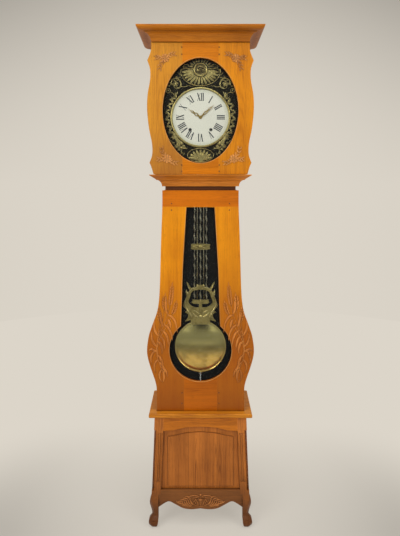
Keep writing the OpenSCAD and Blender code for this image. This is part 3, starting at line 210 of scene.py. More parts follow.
floor_mesh = bpy.data.meshes.new("floor")
floor_r = 4
rim = [math.radians(360 * k / 64) for k in range(64)]
floor_mesh.from_pydata([(floor_r * math.cos(a), floor_r * math.sin(a), 0) for a in rim], [],
                       [list(range(len(rim)))])
floor = bpy.data.objects.new("floor", floor_mesh)
scene.collection.objects.link(floor)
pale = Finish("pale_floor")
spot = pale.place()
away = pale.node("ShaderNodeVectorMath", {"operation": "LENGTH"}, [spot], "Value")
beside = pale.axis(spot, "X")
behind = pale.axis(spot, "Y")
ahead = (0.9 - behind).maths("MAXIMUM", 0.0).maths("MINIMUM", 1.0)
# Painted shade: the floor near the clock is painted darker, more so out to its sides, fading away from the
# clock.
painted_floor_shade = (ahead * (beside * beside * 0.34 + 0.08)).maths("MINIMUM", 0.34) * (1 - away.between(0.8, 1.5))
painted_floor_shade = painted_floor_shade * behind.between(-0.7, -0.15)
paint_tone = pale.mix(pale.mottle(spot, 3.0, 3.0), tone(240, 234, 222), tone(244, 238, 227))
matt = pale.node("ShaderNodeBsdfDiffuse", None, [pale.mix(painted_floor_shade, paint_tone, black)])
glossy = pale.ray("Glossy")
# Painted shade seen only in reflections: the floor between the clock and the camera shows nearly black to
# glossy rays.
reflected_painted_shade = glossy * (0 - behind).within(1.45, 1.85, 2.7, 3.2) * 0.75
lit = pale.node("ShaderNodeEmission", None, [
    pale.mix(reflected_painted_shade, pale.mix(painted_floor_shade, wall_tone, black), (0.02, 0.018, 0.015, 1)), 1.0])
direct = (pale.ray("Camera") + glossy + pale.ray("Transmission")).maths("MINIMUM", 1.0)
floor_mesh.materials.append(pale.show(pale.node("ShaderNodeMixShader", None,
                                                [direct * away.between(0.15, 0.9, 0.56, 1.0), matt, lit])))

for name, place, aim, size, power in [
        ("soft_box_left", (-2.1, -2.3, 2.3), (0, 0, 1.2), 1.6, 40),
        ("soft_box_right", (2.2, -2.0, 2.0), (0, 0, 1.2), 1.6, 24.5),
        ("soft_box_over", (0.0, -1.2, 3.6), (0, 0, 1.3), 1.8, 28)]:
    lamp = bpy.data.lights.new(name, "AREA")
    lamp.shape = "SQUARE"
    lamp.size = size
    lamp.energy = power
    light = bpy.data.objects.new(name, lamp)
    scene.collection.objects.link(light)
    light.location = place
    light.rotation_euler = (Vector(aim) - Vector(place)).to_track_quat("-Z", "Y").to_euler()


# The base: front legs with canted and fluted corners, a shaped top rail and apron, and a raised panel of
# three boards between them. Walnut-brown fruitwood, pegged together, and darker towards the floor.
# carved=True paints shade into the hollows, around carvings and under mouldings.
def wood(name, along, light, dark, shift=0.0, boards=(), change=None, inner=None, gloss=0.36, carved=False):
    """Waxed wood with growth rings, fibres and pores that run along one axis of the clock."""
    light, dark = tone(*light), tone(*dark)
    ring, flame = 0.0045, 0.03
    paint = Finish(name)
    place = paint.place()
    parts = [paint.axis(place, letter) for letter in "XYZ"]
    long, wide, deep = [parts[k] for k in {"x": (0, 2, 1), "y": (1, 0, 2), "z": (2, 0, 1)}[along]]
    plank = seam = wide * 0.0
    for k, edge in enumerate(boards):
        plank = plank + wide.maths("GREATER_THAN", edge) * (1.37 + k * 0.61)
        seam = seam + (1 - (wide - edge).maths("ABSOLUTE").between(0.0003, 0.0011))
    across = (wide + plank * 0.31).maths("PINGPONG", 0.09) if boards else wide.maths("PINGPONG", 0.11)
    mapped = paint.joined(long * 1.6 + plank + shift, wide * 7.0, deep * 7.0)
    sway = paint.mottle(mapped) * 0.030 + paint.mottle(mapped, 3.2, 1.0) * 0.003
    radius = ((across - 0.045) * (across - 0.045) + (deep + 0.05) * (deep + 0.05)).maths("SQRT")
    rings = (radius + long * flame + sway + plank * 0.013 + shift * 0.021) * (2 * math.pi / ring)
    late = (rings.maths("SINE") * 0.5 + 0.5) ** 2.0
    fibre = paint.mottle(paint.joined(long * 7 + shift, wide * 330 + plank * 5, deep * 330), 1.0, 4.0, 0.62)
    pores = paint.mottle(paint.joined(long * 42, wide * 900, deep * 900), 1.0, 1.0).between(0.62, 0.72)
    blotch = paint.mottle(paint.shifted(place, (shift, shift * 2, 0), 3.1), 1.0, 3.0, 0.6)
    streak = paint.mottle(paint.joined(long * 0.9 + shift, wide * 38 + plank * 3, deep * 38), 1.0, 3.0, 0.55)
    depth = late * 0.20 + (fibre - 0.36) * 0.85 + (blotch - 0.5) * 1.2 + (streak - 0.5) * 0.9 + 0.20
    colour = paint.mix(depth.between(0.0, 1.0), light, dark)
    if boards:
        colour = paint.mix((plank * 3.7).maths("SINE") * 0.20 + 0.20, colour, dark)
        colour = paint.mix(seam * 0.7, colour, shaded(dark, 0.3))
    if change:
        colour = change(paint, colour, parts)
    rounded, edge_wear_and_highlight = paint.edges(0.0016)
    colour = paint.mix(pores * 0.42, colour, shaded(dark, 0.32))
    # Edges are painted lighter: partly rubbed wear, partly a painted highlight on the rounded edges.
    colour = paint.mix(edge_wear_and_highlight * 0.35, colour, shaded(light, 1.5, 0.03))
    # Painted shade: hollows around carvings and under mouldings are painted darker.
    if carved:
        colour = paint.mix(paint.hollow(0.006).between(0.05, 0.6) * 0.8, colour, shaded(dark, 0.25))
    if inner:
        colour = inner(paint, colour, parts)
    normal = paint.bump(0.35, 0.0005, late * 0.3 + fibre * 0.7 - pores * 0.6, Normal=rounded)
    rough = fibre * 0.16 + (gloss - 0.05) + (blotch - 0.5) * 0.10
    return paint.body(colour, rough, Normal=normal, Specular_IOR_Level=0.2, Coat_Weight=0.08,
                      Coat_Roughness=0.2)


def tinted_by_height(*bands):
    """A change of a wood's colour with height: each band has two heights, a strength and a tone."""
    def change(paint, colour, parts):
        for start, end, strength, tint in bands:
            colour = paint.mix(parts[2].between(start, end) * strength, colour, tone(*tint))
        return colour
    return change


def dress(material, *nodes):
    """Gives pieces of the frame their finish in every material slot."""
    for node in nodes:
        mesh = frame["nodes"][node].data
        if not mesh.materials:
            mesh.materials.append(material)
        for k in range(len(mesh.materials)):
            mesh.materials[k] = material


def settle(name, mesh, body, material=None):
    """Puts a finished mesh into the scene as a piece that rides on a body."""
    if material:
        mesh.materials.clear()
        mesh.materials.append(material)
    piece = bpy.data.objects.new(name, mesh)
    scene.collection.objects.link(piece)
    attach(piece, body)
    return piece


def smooth_line(points, steps=6):
    """A smooth line through points, with a few more between each two."""
    out = []
    for i in range(len(points) - 1):
        a = Vector(points[max(i - 1, 0)])
        b = Vector(points[i])
        c = Vector(points[i + 1])
        d = Vector(points[min(i + 2, len(points) - 1)])
        for k in range(steps):
            t = k / steps
            out.append(0.5 * (2 * b + (c - a) * t + (2 * a - 5 * b + 4 * c - d) * t * t
                              + (3 * b - a - 3 * c + d) * t * t * t))
    out.append(Vector(points[-1]))
    return out


def around(x, z, across, up, first=0, last=360, count=16):
    """Points on an oval's arc, by angles in degrees."""
    turn = [math.radians(first + (last - first) * k / count) for k in range(count + 1)]
    return [(x + across * math.cos(a), z + up * math.sin(a)) for a in turn]


def corner(shape, x, y, z):
    return shape.verts.new((x / 1000, y / 1000, z / 1000))


def skin(shape, loops, tips=(None, None)):
    """Closes a row of loops into one skin: an end without a tip is flat."""
    count = len(loops[0])
    for one, two in zip(loops, loops[1:]):
        for k in range(count):
            j = (k + 1) % count
            shape.faces.new((one[k], one[j], two[j], two[k]))
    for loop, tip in zip((loops[0], loops[-1]), tips):
        if tip is None:
            shape.faces.new(loop)
            continue
        for k in range(count):
            shape.faces.new((loop[k], loop[(k + 1) % count], tip))


def carve(shape, path, width, rise, face, form="leaf", sink=0.8, crease=0.4):
    """Adds one carved leaf, petal, band or stem, in mm, along a line on a face that looks along -Y."""
    line = smooth_line(path)
    last = len(line) - 1
    sides = 6
    loops = []
    for i, point in enumerate(line):
        u = i / last
        ahead = (line[min(i + 1, last)] - line[max(i - 1, 0)]).normalized()
        side = Vector((-ahead.y, ahead.x))
        if form == "leaf":
            swell = math.sin(math.pi * min(1.0, u ** 0.8 * 0.96 + 0.04)) ** 0.8
        elif form == "petal":
            swell = math.sin(math.pi * (0.12 + 0.86 * u ** 1.4)) ** 0.6
        elif form == "band":
            swell = 1.0
        else:
            swell = 0.75 + 0.25 * math.cos(math.pi * u)
        swell = max(swell, 0.06)
        loop = []
        for k in range(sides + 1):
            v = 2 * k / sides - 1
            top = (1 - v * v) ** 0.55 * (0.35 + 0.65 * swell)
            if form in ("leaf", "petal"):
                top *= 1 - crease * math.exp(-(v / 0.28) ** 2)
            spot = point + side * (v * width / 2 * swell)
            loop.append(corner(shape, spot.x, face - rise * top if abs(v) < 1 else face + sink, spot.y))
        loops.append(loop)
    skin(shape, loops)


def turned(shape, x, z, profile, sides=14):
    """Adds a form turned about a line along Y, by pairs of radius and depth in mm: radius 0 makes a tip."""
    loops = []
    tips = [None, None]
    for r, y in profile:
        if r:
            loops.append([corner(shape, px, y, pz) for px, pz in around(x, z, r, r, count=sides)[:-1]])
        else:
            tips[1 if loops else 0] = corner(shape, x, y, z)
    skin(shape, loops, tips)


def bead(shape, x, z, radius, rise, face, sink=0.8):
    """Adds one carved bead or boss, in mm, on a face that looks along -Y."""
    dome = [(radius * math.cos(a), face - rise * math.sin(a)) for a in [math.pi / 8 * i for i in range(1, 4)]]
    turned(shape, x, z, [(radius, face + sink), *dome, (0, face - rise)])


def finish_carving(name, shape, body, material, smooth=True):
    """Turns carved strokes into one piece."""
    bmesh.ops.recalc_face_normals(shape, faces=shape.faces)
    for face in shape.faces:
        face.smooth = smooth
    mesh = bpy.data.meshes.new(name)
    shape.to_mesh(mesh)
    shape.free()
    return settle(name, mesh, body, material)


def mirrored(path):
    return [(-x, z) for x, z in path]


both_sides = [(1, list, "right"), (-1, mirrored, "left")]
base_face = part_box("base_panel")[0][1] * 1000 - 6
leg_wood = wood("leg_wood", "z", (206, 123, 48), (130, 70, 22), 6.7, carved=True,
                change=tinted_by_height((0.32, 0.03, 0.86, (80, 43, 19))))
dress(wood("panel_wood", "z", (194, 114, 42), (114, 58, 16), 2.3, boards=(-0.055, 0.075), carved=True),
      "base_panel")
dress(wood("apron_wood", "x", (136, 82, 36), (82, 44, 16), 4.1, carved=True), "base_apron")
dress(wood("rail_wood", "x", (208, 120, 26), (122, 62, 8), 5.3, carved=True), "base_top_rail")
dress(leg_wood, "front_legs", "rear_legs")
dress(wood("base_side_wood", "z", (168, 100, 46), (100, 54, 22), 8.2, boards=(0.02,)),
      "base_side_left", "base_side_right")
dress(wood("plain_wood", "z", (150, 112, 70), (104, 72, 40), 9.4, boards=(-0.1, 0.0, 0.1), gloss=0.6),
      "base_back", "base_floor")

shell = bmesh.new()
for k in range(-4, 5):
    drop = 29 - 0.9 * k * k
    carve(shell, [(5.2 * k, 127), (6.3 * k, 127 - 0.5 * drop), (7.6 * k, 127 - drop)], 4.4, 3.6, base_face,
          "band")
carve(shell, around(0, 123, 44, 29, 188, 344, 13), 2.6, 2.6, base_face, "band")
for side, turn, label in both_sides:
    for k in range(8):
        lift = 5 * max(0, k - 4)
        carve(shell, turn([(34 + 8.2 * k, 98 + 0.6 * lift), (44 + 8.6 * k, 113 - 2.4 * k + lift),
                           (50 + 8.6 * k, 135 - 4.4 * k + lift)]), 6.2, 3.4, base_face)
    for k in range(4):
        carve(shell, turn([(38 + 9.5 * k, 99), (48 + 9.5 * k, 94 + 0.6 * k), (59 + 9 * k, 96 + 1.2 * k)]),
              5.2, 2.8, base_face)
        carve(shell, turn([(44 + 11 * k, 128 - 4 * k), (56 + 12 * k, 136 - 6.5 * k),
                           (70 + 12 * k, 137 - 8 * k)]), 5.4, 2.8, base_face)
    carve(shell, turn([(5, 137), (22, 142), (42, 141), (54, 133), (50, 125), (42, 127)]), 4.0, 3.2, base_face,
          "stem")
    carve(shell, turn([(8, 131), (22, 134), (36, 131)]), 3.0, 2.6, base_face, "stem")
bead(shell, 0, 145, 4.2, 4.0, base_face)
bead(shell, 0, 122, 6.0, 4.4, base_face)
finish_carving("apron_carving", shell, "case",
               wood("apron_relief", "x", (208, 132, 68), (118, 68, 30), 4.6, carved=True))

for side, turn, label in both_sides:
    reeds = bmesh.new()
    for part in (0.22, 0.5, 0.78):
        carve(reeds, turn([(178.8 + 27.2 * part, 206), (174 + 28 * part, 310), (169.5 + 29.5 * part, 424)]),
              6.4, 2.2, base_face, "band")
    finish_carving("post_reeds_" + label, reeds, "case", leg_wood)
toe_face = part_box("front_legs")[0][1] * 1000 + 2.2
for side, turn, label in both_sides:
    toe = bmesh.new()
    spiral = [(212 + 9.5 * math.cos(a) * (1 - a / 9), 26 + 10.5 * math.sin(a) * (1 - a / 9))
              for a in [math.radians(-150 + 42 * k) for k in range(11)]]
    carve(toe, turn(spiral), 4.0, 2.4, toe_face, "stem", sink=3)
    finish_carving("toe_scroll_" + label, toe, "case", leg_wood)


# The base's moulded cap, the plain waist carcase, the recessed neck and the boards that carry the movement.
# Cherry, waxed golden outside; the inside is nearly black, and the neck's wood is painted dark: painted shade
# for the shadow it lies in.
def darkened_inside(node):
    """A change of a wood's colour: nearly black on the inner side of a back board."""
    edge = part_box(node)[0][1] + 0.002

    def change(paint, colour, parts):
        return paint.mix(parts[1].maths("LESS_THAN", edge) * 0.97, colour, tone(20, 13, 9))
    return change


def dark_box(paint, colour, parts):
    """A change of a wood's colour: nearly black on the inner faces of a carcase side."""
    facing = paint.axis(paint.node("ShaderNodeNewGeometry", out="Normal"), "X")
    inward = (0 - facing * parts[0].maths("SIGN")).between(0.3, 0.8)
    return paint.mix(inward * 0.97, colour, tone(22, 14, 10))


inner_wood = wood("inner_wood", "x", (54, 34, 18), (30, 19, 10), 16.3, gloss=0.6)
dress(wood("cap_wood", "x", (220, 140, 34), (152, 82, 12), 11.2, carved=True), "base_cap")
dress(wood("waist_side_wood", "z", (206, 122, 36), (146, 76, 18), 12.7, inner=dark_box),
      "waist_side_left", "waist_side_right")
dress(wood("back_wood", "z", (150, 112, 70), (104, 72, 40), 13.9, boards=(-0.06, 0.05), gloss=0.6,
           inner=darkened_inside("waist_back")), "waist_back")
# Painted shade: the neck's wood is given dark tones for the shadow that it lies in.
dress(wood("neck_wood", "x", (104, 58, 22), (62, 32, 12), 15.1), "neck")
dress(inner_wood, "cheeks", "seatboard")


# The hood: a box of cherry boards, with a run of cavetto moulding under it and a bold cornice over it.
# The mouldings are long-grain strips, mitred at the front corners.
dress(wood("mould_wood", "x", (222, 136, 46), (154, 84, 18), 17.5, carved=True), "hood_moulding")
dress(wood("cornice_wood", "x", (188, 112, 22), (132, 70, 8), 18.9, carved=True), "cornice")
dress(inner_wood, "hood_top")
dress(wood("hood_side_wood", "z", (206, 122, 36), (146, 76, 18), 20.3, inner=dark_box),
      "hood_side_left", "hood_side_right")
dress(wood("hood_back_wood", "z", (150, 112, 70), (104, 72, 40), 21.7, boards=(-0.07, 0.06), gloss=0.6,
           inner=darkened_inside("hood_back")), "hood_back")


# The waist door: two vertical stiles, a head rail and a foot rail of cherry, with a keyhole-shaped window.
# Ears of wheat and long leaves are carved down both stiles, and the glass lies in a rebate behind.
for label, light, dark, shift, height in [("left", (230, 146, 8), (180, 96, 2), 23.1, 1.20),
                                          ("right", (234, 150, 12), (182, 98, 2), 24.6, 1.42)]:
    redder = tinted_by_height((height, 0.78, 0.72, (144, 66, 12)), (0.70, 0.53, 0.36, (120, 54, 4)))
    dress(wood(f"stile_{label}_wood", "z", light, dark, shift, change=redder, carved=True),
          "waist_stile_" + label)
dress(wood("head_rail_wood", "x", (208, 112, 0), (160, 76, 0), 26.2), "waist_rail_top")
dress(wood("foot_rail_wood", "x", (190, 100, 0), (136, 64, 0), 27.8), "waist_rail_bottom")
waist_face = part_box("waist_stile_left")[0][1] * 1000


def wheat(shape, path, grains, width, face):
    """Adds an ear of wheat: pairs of grains down both sides of a line, and one at its tip."""
    line = smooth_line(path, 8)
    for k in range(grains):
        u = k / grains
        i = int(u * (len(line) - 2))
        point = line[i]
        ahead = (line[i + 1] - point).normalized()
        side = Vector((-ahead.y, ahead.x))
        size = width * (0.75 + 0.5 * math.sin(math.pi * (0.15 + 0.8 * u)))
        for s in (-1, 1):
            root = point + side * s * size * 0.12
            tip = root + ahead * size * 1.25 + side * s * size * 0.52
            middle = (root + tip) / 2 + side * s * size * 0.16
            carve(shape, [root, middle, tip], size * 0.58, 3.6, face, crease=0.25)
    carve(shape, [line[-2], line[-1], line[-1] + (line[-1] - line[-4]) * 1.4], width * 0.6, 2.8, face,
          crease=0.25)


carving_wood = wood("carving_wood", "z", (230, 144, 62), (122, 58, 14), 29.3, carved=True)
for side, turn, label in both_sides:
    spray = bmesh.new()
    stems = [[(176, 712), (193, 757), (200, 812), (188, 862), (166, 915), (149, 962), (139, 1004)],
             [(193, 770), (198, 822), (191, 868), (177, 912), (168, 955), (164, 985)],
             [(199, 800), (188, 846), (163, 892), (141, 930), (128, 962)]]
    for path in stems:
        carve(spray, turn(path), 4.6, 2.6, waist_face, "stem")
    for path, grains, width in [([(139, 1004), (133, 1044), (129, 1090)], 8, 10.5),
                                ([(164, 985), (165, 1014), (161, 1046)], 6, 10),
                                ([(128, 962), (118, 986), (111, 1014)], 5, 9.5),
                                ([(184, 930), (190, 958), (188, 986)], 5, 9)]:
        wheat(spray, turn(path), grains, width, waist_face)
    carve(spray, turn([(191, 868), (189, 900), (184, 930)]), 3.6, 2.4, waist_face, "stem")
    leaves = [
        [(152, 960), (130, 950), (113, 922), (106, 878)], [(149, 962), (158, 992), (152, 1028)],
        [(170, 905), (180, 940), (178, 972)], [(166, 915), (148, 902), (134, 876), (128, 842)],
        [(176, 890), (158, 872), (148, 846), (146, 820)], [(190, 862), (206, 884), (212, 914), (207, 944)],
        [(186, 866), (172, 850), (164, 826), (162, 800)], [(199, 815), (214, 832), (222, 858), (221, 884)],
        [(196, 840), (182, 828), (174, 804), (176, 780)], [(199, 800), (217, 786), (226, 760), (222, 732)],
        [(198, 790), (214, 800), (228, 802), (236, 790)], [(196, 778), (182, 762), (173, 738), (174, 714)],
        [(192, 757), (206, 742), (210, 718), (203, 694)], [(188, 745), (176, 732), (166, 712), (164, 690)],
        [(180, 724), (166, 712), (154, 696), (150, 676)], [(176, 712), (186, 694), (185, 672), (176, 654)],
        [(176, 712), (168, 694), (166, 672), (172, 650)], [(148, 940), (138, 918), (138, 896)]]
    for k, path in enumerate(leaves):
        carve(spray, turn(path), 10.5 + k % 3 * 0.8, 3.8, waist_face, crease=0.5)
    finish_carving("wheat_spray_" + label, spray, "waist_door", carving_wood)


class Repeat:
    """A tree of geometry nodes that repeats a small shape by named sizes, and ends as one plain mesh."""

    def __init__(self, name, **sizes):
        self.name = name
        self.tree = bpy.data.node_groups.new(name, "GeometryNodeTree")
        self.sizes = {}
        for label, value in sizes.items():
            kind = "NodeSocketInt" if isinstance(value, int) else "NodeSocketFloat"
            socket = self.tree.interface.new_socket(label, in_out="INPUT", socket_type=kind)
            self.sizes[socket.identifier] = value
        self.tree.interface.new_socket("Geometry", in_out="OUTPUT", socket_type="NodeSocketGeometry")
        self.entry = self.tree.nodes.new("NodeGroupInput")

    def size(self, label):
        return self.entry.outputs[label]

    def node(self, kind, settings=None, inputs=None, out=0):
        made = self.tree.nodes.new(kind)
        for key, value in (settings or {}).items():
            setattr(made, key, value)
        for key, value in (inputs or {}).items():
            if isinstance(value, bpy.types.NodeSocket):
                self.tree.links.new(value, made.inputs[key])
            else:
                made.inputs[key].default_value = value
        return made.outputs[out]

    def maths(self, operation, first, second=0.0):
        return self.node("ShaderNodeMath", {"operation": operation}, {0: first, 1: second})

    def vector(self, x=0.0, y=0.0, z=0.0):
        return self.node("ShaderNodeCombineXYZ", None, {0: x, 1: y, 2: z})

    def copies(self, points, piece, turn=(0, 0, 0)):
        return self.node("GeometryNodeInstanceOnPoints", None, {"Points": points, "Instance": piece,
                                                                "Rotation": turn})

    def row(self, piece, x=0.0, turn=(0, 0, 0)):
        """Copies of a piece up a line: it starts at the named depth and foot, and has the named pitch."""
        line = self.node("GeometryNodeMeshLine", None, {
            "Count": self.size("Count"),
            "Start Location": self.vector(x, self.size("Depth"), self.size("Foot")),
            "Offset": self.vector(0.0, 0.0, self.size("Pitch"))})
        return self.copies(line, piece, turn)

    def stud(self, sides, top, rise=0.0009):
        """A low cone on the named radius, such as a peg's end or a screw's head."""
        return self.node("GeometryNodeMeshCone", None, {"Vertices": sides, "Radius Top": top,
                                                        "Radius Bottom": self.size("Radius"), "Depth": rise})

    def upright(self, geometry):
        """Turns what lies flat to look along -Y, at the named depth and height."""
        return self.node("GeometryNodeTransform", None, {
            "Geometry": geometry, "Rotation": (math.radians(90), 0, 0),
            "Translation": self.vector(0.0, self.size("Depth"), self.size("Height"))})

    def finish(self, geometry, material, body, slot):
        """Ends the tree, and settles its result as one plain piece."""
        real = self.node("GeometryNodeRealizeInstances", None, {"Geometry": geometry})
        dressed = self.node("GeometryNodeSetMaterial", None, {"Geometry": real, "Material": material})
        self.tree.links.new(dressed, self.tree.nodes.new("NodeGroupOutput").inputs[0])
        carrier = bpy.data.objects.new(self.name, bpy.data.meshes.new(self.name))
        scene.collection.objects.link(carrier)
        modifier = carrier.modifiers.new(self.name, "NODES")
        modifier.node_group = self.tree
        for identifier, value in self.sizes.items():
            modifier[identifier] = value
        bpy.context.view_layer.update()
        result = bpy.data.meshes.new_from_object(carrier.evaluated_get(bpy.context.evaluated_depsgraph_get()))
        bpy.data.objects.remove(carrier)
        result.name = self.name + "_mesh"
        settle(self.name, result, body)


def pegs(name, body, half, low, high, face):
    """Four turned pegs that hold a rail's joints, in mm, a hair proud of a face that looks along -Y."""
    tree = Repeat(name, Width=half / 500, Rise=(high - low) / 1000, Radius=0.0034, Depth=face / 1000 - 0.0001,
                  Height=(low + high) / 2000)
    corners = tree.node("GeometryNodeMeshGrid", None, {
        "Size X": tree.size("Width"), "Size Y": tree.size("Rise"), "Vertices X": 2, "Vertices Y": 2})
    tree.finish(tree.upright(tree.copies(corners, tree.stud(14, 0.0026))), peg_wood, body, "dark_wood")


peg_wood = wood("peg_wood", "y", (132, 76, 30), (84, 44, 16), 30.2, gloss=0.4)
pegs("foot_rail_pegs", "waist_door", 84, 556, 604, waist_face)
pegs("head_rail_pegs", "waist_door", 132, 1436, 1466, waist_face)

# Painted highlight: the beads round both windows are given a paler wood than the doors.
highlit_bead_wood = wood("highlit_bead_wood", "z", (232, 172, 100), (184, 112, 48), 29.9, gloss=0.3)
bead_width, bead_rise = 2.2, 0.8
window_r = 143.2
window_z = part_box("waist_glass")[0][2] * 1000 + 148.7
window_edge = bmesh.new()
for side, turn, label in both_sides:
    arc = around(0, window_z, window_r, window_r, -90, 51)
    carve(window_edge, turn(arc), bead_width, bead_rise, waist_face, "band")
    carve(window_edge, turn([(91.2, window_z + 111), (86.3, window_z + 230), (82.3, window_z + 366),
                             (65.3, window_z + 650)]), bead_width, bead_rise, waist_face, "band")
finish_carving("window_edge", window_edge, "waist_door", highlit_bead_wood)


# The hood door: shaped stiles and rails of cherry around a large oval window, with pegged joints.
# A rosette with three leafy sprigs is carved in each corner.
# Painted shade: the left hood stile is painted darker towards its foot.
for label, light, dark, shift, change in [
        ("left", (208, 140, 36), (160, 96, 20), 30.7, tinted_by_height((1.84, 1.66, 0.5, (146, 88, 36)))),
        ("right", (212, 132, 14), (164, 90, 6), 32.1, None)]:
    dress(wood(f"hood_{label}_wood", "z", light, dark, shift, change=change, carved=True),
          "hood_stile_" + label)
dress(wood("hood_top_wood", "x", (206, 119, 0), (160, 82, 0), 33.9), "hood_rail_top")
dress(wood("hood_foot_wood", "x", (210, 122, 2), (162, 84, 0), 35.2), "hood_rail_bottom")

hood_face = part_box("hood_stile_left")[0][1] * 1000
pegs("hood_foot_pegs", "hood_door", 84, 1612, 1640, hood_face)
pegs("hood_head_pegs", "hood_door", 84, 2136, 2168, hood_face)
glass_low, glass_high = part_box("hood_glass")
glass_lap = 5.4
oval_half = glass_high[0] * 1000 - glass_lap
oval_rise = (glass_high[2] - glass_low[2]) * 500 - glass_lap
oval_z = (glass_high[2] + glass_low[2]) * 500
oval_edge = bmesh.new()
for side, turn, label in both_sides:
    arc = around(0, oval_z, oval_half, oval_rise, -90, 90, 24)
    carve(oval_edge, turn(arc), bead_width, bead_rise, hood_face, "band")
finish_carving("oval_edge", oval_edge, "hood_door", highlit_bead_wood)

rosette_wood = wood("rosette_wood", "z", (232, 160, 84), (128, 64, 18), 36.4, carved=True)
for side, turn, label in both_sides:
    corners = bmesh.new()
    for cx, cz, up in [(158, 2119, -1), (149, 1668, 1)]:
        for count, inner, outer, width, rise in [(8, 7, 19.5, 12.5, 3.4), (5, 2, 12, 9.5, 5.2)]:
            for k in range(count):
                a = math.radians(90 + 360 / count * k)
                petal = [(cx + r * math.cos(a + lean), cz + r * math.sin(a + lean))
                         for r, lean in ((inner, 0), ((inner + outer) / 2, 0.1), (outer, 0))]
                carve(corners, turn(petal), width, rise, hood_face, "petal", crease=0.5)
        bead(corners, cx * side, cz, 3.2, 5.6, hood_face)
        for stem in [[(12, 13), (20, 27), (23, 43)], [(-13, -12), (-24, -17), (-37, -17)],
                     [(17, -2), (27, -5), (36, -1)]]:
            path = [Vector((cx + dx, cz + dz * up)) for dx, dz in stem]
            carve(corners, turn(path), 2.6, 2.0, hood_face, "stem")
            along = (path[-1] - path[0]).normalized()
            across = Vector((-along.y, along.x))
            for k, root in enumerate(path):
                for lean in (-1, 1):
                    tip = root + along * 15 + across * 9 * lean
                    middle = (root + tip) / 2 + across * 2.5 * lean
                    carve(corners, turn([root, middle, tip]), 6.6 - 0.6 * k, 3.2, hood_face, crease=0.5)
    finish_carving("hood_rosettes_" + label, corners, "hood_door", rosette_wood)


# Both panes: old window glass, clear and faintly wavy, cut to the outline of the windows.
# They lie in rebates behind the doors, held by putty.
clear = Finish("old_glass")
wavy = clear.bump(0.10, 0.002, clear.mottle(clear.place(), 9.0, 1.0))
shine = clear.node("ShaderNodeBsdfPrincipled", None, {"Base Color": (0.9, 0.95, 0.95, 1), "Roughness": 0.03,
                                                      "Normal": wavy})
through = clear.node("ShaderNodeBsdfTransparent", None, [(0.95, 0.97, 0.96, 1)])
facing = clear.node("ShaderNodeLayerWeight", None, {"Blend": 0.25, "Normal": wavy}, "Fresnel")
dress(clear.show(clear.node("ShaderNodeMixShader", None, [facing * 0.3, through, shine])),
      "hood_glass", "waist_glass")


# The movement: a cage of forged iron bars with brass wheels cut by hand, steel arbors, an anchor and a bell.
# Two trains stand side by side, each with a drum, a rope and a cast-iron weight that falls in the waist.
body_of = {node: body for body, nodes in frame["record"]["behaviour"]["bodies"].items() for node in nodes}


def refined(node, material, angle=34):
    """A smooth copy of a turned or cast piece, which stands for it."""
    shape = bmesh.new()
    shape.from_mesh(frame["nodes"][node].data)
    bmesh.ops.remove_doubles(shape, verts=shape.verts, dist=0.00002)
    bmesh.ops.dissolve_limit(shape, angle_limit=math.radians(0.6), verts=shape.verts, edges=shape.edges)
    for face in shape.faces:
        face.smooth = True
    for edge in shape.edges:
        edge.smooth = len(edge.link_faces) == 2 and edge.calc_face_angle(0) < math.radians(angle)
    mesh = bpy.data.meshes.new(node + "_finished")
    shape.to_mesh(mesh)
    shape.free()
    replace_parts(settle(node + "_finished", mesh, body_of[node], material), node)


def metal(name, light, dark, rough=0.3, spots=0.5, scale=30.0, shift=0.0, depth_patina_and_shade=None, shine=1.0, hollow=None,
          painted_light_on_top=None):
    """Metal with a mottled skin: bright where hands and cloths reach it, dull and dark in between, with a
    painted highlight on its edges.
    """
    light, dark = tone(*light), tone(*dark)
    cast = Finish(name)
    place = cast.place()
    cloud = cast.mottle(cast.shifted(place, (shift, 0, shift)), scale, 4.0, 0.6)
    speck = cast.mottle(place, scale * 9, 2.0, 0.6)
    tarnish = cloud.between(0.38, 0.72) * spots + speck.between(0.55, 0.8) * spots * 0.5
    colour = cast.mix(tarnish, light, dark)
    if painted_light_on_top:
        low, high, tint = painted_light_on_top
        colour = cast.mix(cast.axis(place, "Z").between(low, high), colour, tone(*tint))
    rounded, edge_wear_and_highlight = cast.edges(0.0008)
    # Edges are painted lighter: partly rubbed wear, partly a painted highlight on the rounded edges.
    colour = cast.mix(edge_wear_and_highlight * 0.5, colour, shaded(light, 1.25, 0.04))
    if depth_patina_and_shade:
        low, high = depth_patina_and_shade
        colour = cast.mix(cast.axis(place, "Y").between(high, low) * 0.97, colour, dark)
    if hollow:
        colour = cast.mix(cast.hollow(hollow).between(0.12, 0.62) * 0.9, colour, dark)
    normal = cast.bump(0.22, 0.0004, speck, Normal=rounded)
    return cast.body(colour, tarnish * 0.25 + rough, Metallic=shine, Normal=normal)


train_brass = metal("train_brass", (206, 170, 92), (120, 88, 40))
# Painted shade: the drums' front ends, seen through the winding holes, are painted nearly black.
drum_brass = metal("drum_brass", (206, 170, 92), (36, 31, 26), 0.32, 0.3, depth_patina_and_shade=(-0.054, -0.046))
steel = metal("steel", (196, 196, 194), (110, 106, 100), 0.24, 0.3)
bronze = metal("bell_bronze", (196, 156, 86), (110, 78, 36), 0.22, 0.35, 18)
black_iron = metal("black_iron", (48, 46, 44), (22, 20, 19), 0.5, 0.6, 40, shine=0.4)
for node in ["going_drum", "centre_wheel", "third_wheel", "escape_wheel", "strike_drum", "pin_wheel", "fly",
             "minute_wheel"]:
    refined(node, drum_brass if node.endswith("drum") else train_brass)
dress(metal("forged_iron", (88, 84, 80), (34, 28, 25), 0.55, 0.7, 24, shine=0.8), "movement_cage")
for node in ["anchor", "hammer"]:
    refined(node, steel)
refined("bell", bronze, 60)
for node in ["going_weight", "strike_weight"]:
    refined(node, black_iron)

